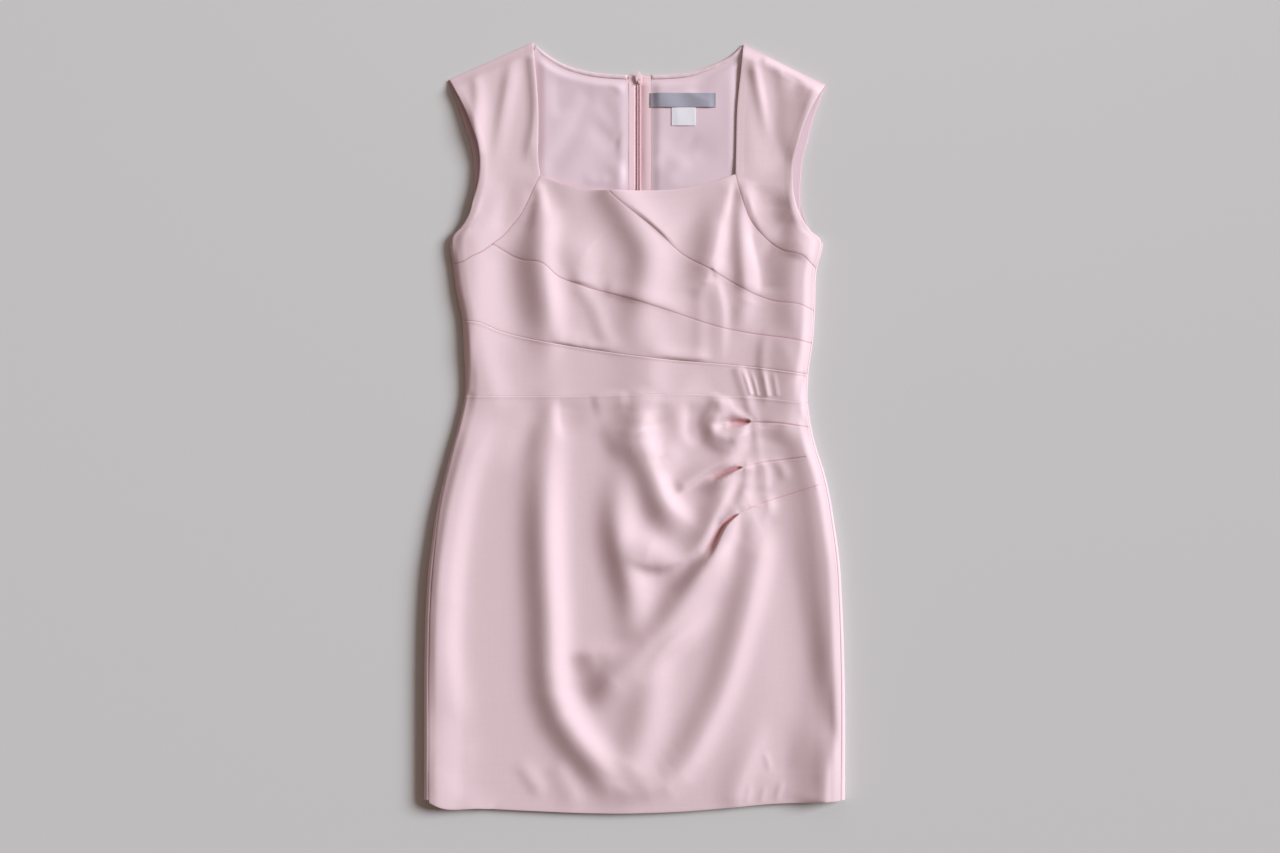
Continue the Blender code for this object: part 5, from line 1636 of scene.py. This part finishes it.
@dataclass(frozen=True)
class Lining:
    """The satin lining of the back, seen through the neck."""

    wall: float = 1.0
    height: float = 1.7  # of its lower face above the floor
    bottom: float = 252.0
    neck_inset: float = 5.6
    shoulder_inset: float = 8.0
    armhole_inset: float = 1.4
    centre_right: float = -7.3
    centre_left: float = 19.6
    curl_fade: float = 18.0
    spacing: float = 2.6
    fullness: float = 2.2  # how much higher than the zip's edges it lies in between
    softness: float = 0.25
    free_x: tuple[float, float] = (-122.0, 134.0)  # between the straps it isn't pressed flat
    free_y: float = 270.0  # nor above this
    fades: tuple[float, float, float, float] = (16.0, 22.0, 24.0, 10.0)  # right, left, low, neck
    near_zip: tuple[float, float] = (12.0, 40.0)  # over which folds start and the edge's rise ends
    folds: tuple[Fold, ...] = LINING_FOLDS

    def heights(self, points: Points) -> Points:
        """Height of the lining's upper face, flat where the front lies over it.

        Args:
            points: plane points.

        Returns:
            One height for each.
        """
        x, y = points[:, 0], points[:, 1]
        least = self.height + self.wall
        right, left, low, neck = self.fades
        free = smooth((x - self.free_x[0]) / right) * smooth((self.free_x[1] - x) / left)
        free *= smooth((y - self.free_y) / low)
        for side in BACK_NECKS.values():
            away = nearest(points, Curve(side).line(4.0))[0]
            free *= smooth((away - self.neck_inset) / neck)
        zip_side = np.where(x < CENTRE_BACK, self.centre_right - x, x - self.centre_left)
        starts, ends = self.near_zip
        open_area = smooth(zip_side / starts)
        height = (ZIP_EDGE - least) * (1.0 - 0.5 * smooth(np.abs(zip_side) / ends))
        height = height + self.fullness * open_area
        height = height + sum(fold.heights(points) for fold in self.folds) * open_area
        return least - 0.1 + self.softness * np.logaddexp(free * height / self.softness, 0.0)

    def outline(self, line: SideLine) -> tuple[Points, Points, Points, Points]:
        """The lining's four edges on one side.

        Args:
            line: the side.

        Returns:
            The bottom and top edges from the centre out, the centre edge and the outside edge.
        """
        value = line.side.value
        centre_x = self.centre_right if line.side is Side.RIGHT else self.centre_left
        tip, neck_point = SHOULDERS[line.side]
        ys = np.linspace(self.bottom, tip[1] - self.shoulder_inset, 60)
        clear = line.radius(np.array(228.0)) * (1.0 - smooth((ys - self.bottom)
                                                             / self.curl_fade))
        outside = np.stack([line.edge_x(ys) - value * (self.armhole_inset + clear), ys], axis=-1)
        neck = Curve(BACK_NECKS[line.side]).line()
        neck = neck[value * (neck[:, 0] - centre_x) > 0.0] - [0.0, self.neck_inset]
        start = np.array([[centre_x, neck[0, 1]]])
        high = neck_point[1] - self.shoulder_inset
        neck = np.concatenate([start, neck[neck[:, 1] < high]])
        top = joined(neck, np.stack([neck[-1], outside[-1]]))
        bottom = np.array([[centre_x, self.bottom], outside[0]])
        centre = np.array([[centre_x, self.bottom], top[0]])
        return bottom, top, centre, outside

    def build(self, made_of: bpy.types.Material) -> list[bpy.types.Object]:
        """Builds both halves.

        Args:
            made_of: the satin.

        Returns:
            The pieces.
        """
        pieces = []
        for line in (RIGHT_SIDE, LEFT_SIDE):
            word = line.side.name.lower()
            bottom, top, centre, outside = self.outline(line)
            lines = line.from_left(bottom, top, centre, outside)
            near = (0.0, 0.8, 2.0)
            across = stations(length_of(bottom), near, near, self.spacing)
            up = stations(length_of(centre), near, near, self.spacing)
            bm = grid_mesh(filled(*lines, across, up))
            flat = plane_points(bm)
            lift(bm, self.heights(flat))
            obj = finished(bm, f"back_lining_{word}_satin", made_of, np.zeros(len(flat)))
            give_wall(obj, self.wall, 0.3)
            stands_for(obj, "back_lining_" + word, "satin_lining")
            pieces.append(obj)
        return pieces


@dataclass(frozen=True)
class Ribbon:
    """A ribbon label lying on the lining, bare, with its ends sewn down."""

    node: str
    slot: str
    low: tuple[float, float]
    high: tuple[float, float]
    wall: float
    waviness: float
    lift: float = 0.3
    spacing: float = 1.2
    stitch_inset: float = 1.2

    def build(self, lining: Lining, made_of: bpy.types.Material,
              thread: bpy.types.Material | None = None) -> list[bpy.types.Object]:
        """Builds the ribbon.

        Args:
            lining: what it lies on.
            made_of: its satin.
            thread: the thread of the stitches across its ends, if they show.

        Returns:
            The ribbon and its stitches.
        """
        counts = [max(2, round((b - a) / self.spacing)) for a, b in zip(self.low, self.high)]
        xs, ys = (np.linspace(a, b, n + 1) for a, b, n in zip(self.low, self.high, counts))
        bm = grid_mesh(np.stack(np.meshgrid(xs, ys), axis=-1))
        flat = plane_points(bm)
        inward = np.minimum(flat[:, 0] - self.low[0], self.high[0] - flat[:, 0])
        free = smooth(inward / 9.0)
        wave = self.waviness * free * (1.0 + np.sin(flat[:, 0] / 7.5 + flat[:, 1] / 14.0)) / 2
        lift(bm, lining.heights(flat) + self.lift + self.wall + wave)
        obj = finished(bm, self.node + "_ribbon", made_of, np.zeros(len(flat)))
        give_wall(obj, self.wall, 0.15)
        size = tuple((b - a) * MM for a, b in zip(self.low, self.high))
        rows = []
        for word, x in (("right", self.low[0] + self.stitch_inset),
                        ("left", self.high[0] - self.stitch_inset)):
            if thread is not None:
                line = np.array([[x, self.low[1] + 0.6], [x, self.high[1] - 0.6]])
                rows.append(stitch_row(
                    f"{self.node}_stitches_{word}", line,
                    lambda points: lining.heights(points) + self.lift + self.wall + 0.05,
                    2.3, 1.7, 0.35, thread))
        stands_for(obj, self.node, self.slot)
        return [obj, *rows]


@dataclass(frozen=True)
class Zip:
    """The coil zip in the centre back seam, closed, with its slider at the neck."""

    tape_right: tuple[float, float] = (-7.2, 4.6)
    tape_left: tuple[float, float] = (5.4, 19.5)
    tape_y: tuple[float, float] = (-78.0, 422.6)
    tape_z: tuple[float, float] = (1.7, 2.4)
    coil_y: tuple[float, float] = (-70.0, 412.4)
    coil_z: tuple[float, float] = (2.72, 4.28)
    coil_half: float = 2.8
    pitch: float = 1.25
    wire: float = 0.36
    core: float = 0.8  # of the cord inside each row
    block_turns: int = 16
    turn_steps: int = 8
    slider_z: tuple[float, float] = (2.7, 4.5)
    slider: Rows = ((-2.4, 412.8), (2.4, 412.8), (3.4, 419.0), (3.2, 423.6), (-3.2, 423.6),
                    (-3.4, 419.0))
    hinge: tuple[float, float] = (414.95, 5.6)
    bail: tuple[float, float, float, float] = (1.05, 1.95, 0.8, 0.4)  # inner, outer, half, foot
    tab: Rows = ((-3.0, -0.75), (3.0, -0.75), (3.7, 3.6), (4.2, 7.6), (0.0, 13.4), (-4.2, 7.6),
                 (-3.7, 3.6))
    window: Rows = ((-1.4, 0.75), (1.4, 0.75), (1.4, 1.8), (1.4, 2.7), (0.0, 2.7), (-1.4, 2.7),
                    (-1.4, 1.8))
    tab_half: float = 0.45
    marks: tuple[tuple[str, Rows], ...] = (("a", ((10.6, 421.3), (11.6, 420.2))),
                                           ("b", ((10.2, 418.7), (10.9, 417.4))))

    def build(self, tape: bpy.types.Material, nylon: bpy.types.Material,
              metal: bpy.types.Material, thread: bpy.types.Material) -> list[bpy.types.Object]:
        """Builds the zip.

        Args:
            tape: the tapes' cloth.
            nylon: the coil's finish.
            metal: the slider's and tab's finish.
            thread: the dark thread that holds the tape's end.

        Returns:
            The pieces.
        """
        marks = [stitch_row(f"zip_tape_stitch_{word}", np.array(ends), self.tape_heights, 1.5,
                            1.4, 0.5, thread) for word, ends in self.marks]
        return [*self.tapes(tape), *marks, self.coil(nylon), self.slider_body(metal),
                self.pull_tab(metal)]

    def tapes(self, made_of: bpy.types.Material) -> list[bpy.types.Object]:
        """The two tapes.

        Args:
            made_of: their cloth.

        Returns:
            The pieces.
        """
        pieces = []
        for word, (low, high) in (("right", self.tape_right), ("left", self.tape_left)):
            columns = max(3, round(high - low))
            rows = 240
            xs, ys = np.linspace(low, high, columns + 1), np.linspace(*self.tape_y, rows + 1)
            bm = grid_mesh(np.stack(np.meshgrid(xs, ys), axis=-1))
            flat = plane_points(bm)
            lift(bm, self.tape_heights(flat))
            obj = finished(bm, f"zip_tape_{word}_weave", made_of, np.zeros(len(flat)))
            give_wall(obj, self.tape_z[1] - self.tape_z[0] - 0.2, 0.15)
            stands_for(obj, "zip_tape_" + word, "zip_tape")
            pieces.append(obj)
        return pieces

    def tape_heights(self, points: Points) -> Points:
        """The tapes' upper face, which rises from the coil on both sides to the lining's edge.

        Args:
            points: plane points.

        Returns:
            One height for each.
        """
        x, y = points[:, 0], points[:, 1]
        low = self.tape_z[1] - 0.1
        most = (ZIP_EDGE - low) * smooth((y - 270.0) / 24.0) * smooth((420.0 - y) / 10.0)
        share = np.clip((x - 7.9) / 8.6, 0.0, 1.0)
        left = most * (1.0 - (1.0 - share) ** 2)
        right = most * (0.75 * smooth((1.9 - x) / 1.7) + 0.25 * smooth(-x / 7.0))
        ripple = 0.12 * np.sin(y / 9.0) * np.sin(y / 31.0 + 1.0)
        away = smooth((np.abs(x - CENTRE_BACK) - 3.0) / 4.0)
        return low + np.where(x > CENTRE_BACK, left, right) + ripple * away

    def coil(self, made_of: bpy.types.Material) -> bpy.types.Object:
        """Both rows of the coil, each a flattened spiral of one wire.

        Args:
            made_of: its finish.

        Returns:
            The piece.
        """
        bm = bmesh.new()
        middle = sum(self.coil_z) / 2
        across = self.coil_half / 2 - self.wire
        tall = (self.coil_z[1] - self.coil_z[0]) / 2
        blocks = int((self.coil_y[1] - self.coil_y[0]) / (self.pitch * self.block_turns))
        for sign in (-1, 1):
            centre = Vector((CENTRE_BACK + sign * (self.coil_half / 2 + 0.05), 0.0, middle))
            start = centre + Vector((across, self.coil_y[0] + self.wire, 0.0))
            ring = bmesh.ops.create_circle(bm, cap_ends=False, radius=self.wire, segments=5,
                                           matrix=Matrix.Translation(start))["verts"]
            before = set(bm.verts) - set(ring)
            bmesh.ops.spin(bm, geom=[*ring, *{e for v in ring for e in v.link_edges}],
                           cent=centre, axis=(0.0, 1.0, 0.0),
                           dvec=(0.0, self.pitch / self.turn_steps, 0.0),
                           angle=2 * math.pi * self.block_turns * sign,
                           steps=self.turn_steps * self.block_turns,
                           use_merge=False, use_duplicate=False)
            block = [v for v in bm.verts if v not in before]
            geom = [*block, *{e for v in block for e in v.link_edges},
                    *{f for v in block for f in v.link_faces}]
            for index in range(1, blocks):
                copied = bmesh.ops.duplicate(bm, geom=geom)["geom"]
                verts = [v for v in copied if isinstance(v, bmesh.types.BMVert)]
                run = index * self.block_turns * self.pitch
                bmesh.ops.translate(bm, vec=(0.0, run, 0.0), verts=verts)
        bmesh.ops.remove_doubles(bm, verts=bm.verts, dist=0.02)
        bmesh.ops.holes_fill(bm, edges=bm.edges, sides=6)
        length = self.coil_y[1] - self.coil_y[0] - 2 * self.wire
        for sign in (-1, 1):
            centre = Vector((CENTRE_BACK + sign * (self.coil_half / 2 + 0.05),
                             sum(self.coil_y) / 2, middle))
            lying = Matrix.Translation(centre) @ Matrix.Rotation(math.pi / 2, 4, "X")
            bmesh.ops.create_cone(bm, cap_ends=True, segments=12, radius1=self.core,
                                  radius2=self.core, depth=length, matrix=lying)
        for vertex in bm.verts:
            vertex.co.z = middle + (vertex.co.z - middle) * tall / (across + self.wire)
        bmesh.ops.recalc_face_normals(bm, faces=bm.faces)
        obj = finished(bm, "zip_coil_nylon", made_of)
        stands_for(obj, "zip_coil", "zip_coil")
        return obj

    def slider_body(self, made_of: bpy.types.Material) -> bpy.types.Object:
        """The slider with the arch that holds its tab.

        Args:
            made_of: its finish.

        Returns:
            The piece.
        """
        bm = bmesh.new()
        low, high = self.slider_z
        plate(bm, [(CENTRE_BACK + x, y) for x, y in self.slider], low, high)
        bevelled(bm, 0.35, 3)
        arch = bmesh.new()
        inner, outer, half, foot = self.bail
        y, z = self.hinge
        bottom = high - foot - z
        profile = ((-outer, bottom), (-inner, bottom), (-inner, inner), (inner, inner),
                   (inner, bottom), (outer, bottom), (outer, inner), (inner, outer),
                   (-inner, outer), (-outer, inner))
        plate(arch, profile, -half, half)
        bevelled(arch, 0.2, 2)
        turn = Matrix(((0.0, 0.0, 1.0, CENTRE_BACK), (1.0, 0.0, 0.0, y), (0.0, 1.0, 0.0, z),
                       (0.0, 0.0, 0.0, 1.0)))
        bmesh.ops.transform(arch, matrix=turn, verts=arch.verts)
        mesh = bpy.data.meshes.new("arch")
        arch.to_mesh(mesh)
        arch.free()
        bm.from_mesh(mesh)
        bpy.data.meshes.remove(mesh)
        bmesh.ops.recalc_face_normals(bm, faces=bm.faces)
        obj = finished(bm, "zip_slider_metal", made_of)
        stands_for(obj, "zip_slider", "zip_metal")
        return obj

    def pull_tab(self, made_of: bpy.types.Material) -> bpy.types.Object:
        """The pointed tab with its window, rounded all over.

        Args:
            made_of: its finish.

        Returns:
            The piece.
        """
        bm = bmesh.new()
        loops = []
        for outline in (self.tab, self.window):
            verts = [bm.verts.new((x, y, -self.tab_half)) for x, y in outline]
            loops.append([bm.edges.new(pair) for pair in zip(verts, verts[1:] + verts[:1])])
        bmesh.ops.bridge_loops(bm, edges=loops[0] + loops[1])
        lifted = bmesh.ops.extrude_face_region(bm, geom=list(bm.faces))["geom"]
        verts = [v for v in lifted if isinstance(v, bmesh.types.BMVert)]
        bmesh.ops.translate(bm, vec=(0.0, 0.0, 2 * self.tab_half), verts=verts)
        bmesh.ops.recalc_face_normals(bm, faces=bm.faces)
        bevelled(bm, 0.2, 3)
        bmesh.ops.translate(bm, vec=(CENTRE_BACK, *self.hinge), verts=bm.verts)
        obj = finished(bm, "zip_pull_tab_metal", made_of)
        stands_for(obj, "zip_pull_tab", "zip_metal", "zip_pull")
        return obj


# ---------------------------------------------------------------- floor, light and camera


@dataclass(frozen=True)
class Studio:
    """A pale floor, a broad soft light from the right, a weak one past the neck, and even light."""

    floor_size: float = 6.0
    floor_drop: float = 0.0004
    floor_colour: str = "#CFCDCA"
    key_azimuth: float = 20.0  # above +X
    key_elevation: float = 30.0
    key_strength: float = 4.5
    key_spread: float = 26.0
    fill_strength: float = 0.20
    fill_colour: str = "#FFDDCF"
    key_colour: str = "#EEF5FF"
    head_place: tuple[float, float, float] = (0.3, 1.3, 1.1)
    head_power: float = 2.2
    camera_centre: tuple[float, float] = (6.6, 1.2)
    lens: float = 50.0
    sensor: float = 36.0
    view_width: float = 1536.0  # of the floor across the picture, in millimetres
    view_plane: float = 7.0  # the height at which that holds

    def build(self) -> None:
        """Sets the floor, the lights and the camera."""
        scene = bpy.context.scene
        scene.view_settings.view_transform = "Standard"
        bm = bmesh.new()
        bmesh.ops.create_grid(bm, x_segments=4, y_segments=4, size=self.floor_size / 2)
        bmesh.ops.translate(bm, vec=(0.0, 0.0, -self.floor_drop), verts=bm.verts)
        mesh = bpy.data.meshes.new("floor")
        bm.to_mesh(mesh)
        bm.free()
        recipe = Recipe("plain pale floor")
        recipe.fill(recipe.shader, {"Base Color": linear(self.floor_colour), "Roughness": 0.9})
        mesh.materials.append(recipe.made)
        floor = bpy.data.objects.new("floor", mesh)
        scene.collection.objects.link(floor)

        sun = bpy.data.lights.new("key", "SUN")
        sun.energy = self.key_strength
        sun.angle = math.radians(self.key_spread)
        sun.color = linear(self.key_colour)[:3]
        key = bpy.data.objects.new("key", sun)
        azimuth, elevation = math.radians(self.key_azimuth), math.radians(self.key_elevation)
        towards = Vector((math.cos(azimuth) * math.cos(elevation),
                          math.sin(azimuth) * math.cos(elevation), math.sin(elevation)))
        key.rotation_mode = "QUATERNION"
        key.rotation_quaternion = towards.to_track_quat("Z", "Y")
        scene.collection.objects.link(key)
        panel = bpy.data.lights.new("head", "AREA")
        panel.energy, panel.size = self.head_power, 1.0
        head = bpy.data.objects.new("head", panel)
        head.location = self.head_place
        head.rotation_mode = "QUATERNION"
        head.rotation_quaternion = Vector(self.head_place).to_track_quat("Z", "Y")
        scene.collection.objects.link(head)
        world = scene.world or bpy.data.worlds.new("even light")
        scene.world = world
        world.use_nodes = True
        background = world.node_tree.nodes["Background"]
        background.inputs["Color"].default_value = linear(self.fill_colour)
        background.inputs["Strength"].default_value = self.fill_strength

        camera = bpy.data.cameras.new("camera")
        camera.lens = self.lens
        camera.sensor_width = self.sensor
        camera.clip_start, camera.clip_end = 0.05, 50.0
        eye = bpy.data.objects.new("camera", camera)
        height = self.view_plane + self.view_width * self.lens / self.sensor
        eye.location = (self.camera_centre[0] * MM, self.camera_centre[1] * MM, height * MM)
        scene.collection.objects.link(eye)
        scene.camera = eye


def main() -> None:
    """Builds the dress piece by piece, then the floor, light and camera."""
    logging.basicConfig(level=logging.INFO, format="%(name)s: %(message)s")
    crepe = CREPE.material()
    lining = Lining()
    dark_thread = DARK_THREAD.material()
    made = [
        *FrontPanels().build(crepe, THREAD.material()),
        *BackPanels().build(crepe),
        *lining.build(SATIN.material()),
        *Zip().build(TAPE.material(), NYLON.material(), ENAMEL.material(), dark_thread),
        *Ribbon("neck_label", "label_satin", (18.6, 384.6), (97.8, 401.8), 0.5, 1.3).build(
            lining, GREY_RIBBON.material(), dark_thread),
        *Ribbon("care_label", "label_white", (44.4, 362.5), (73.3, 384.3), 0.4, 0.5).build(
            lining, WHITE_RIBBON.material()),
    ]
    for piece in made:
        LOG.info("%s: %d faces before modifiers", piece.name, len(piece.data.polygons))
    Studio().build()


if __name__ == "__main__":
    main()
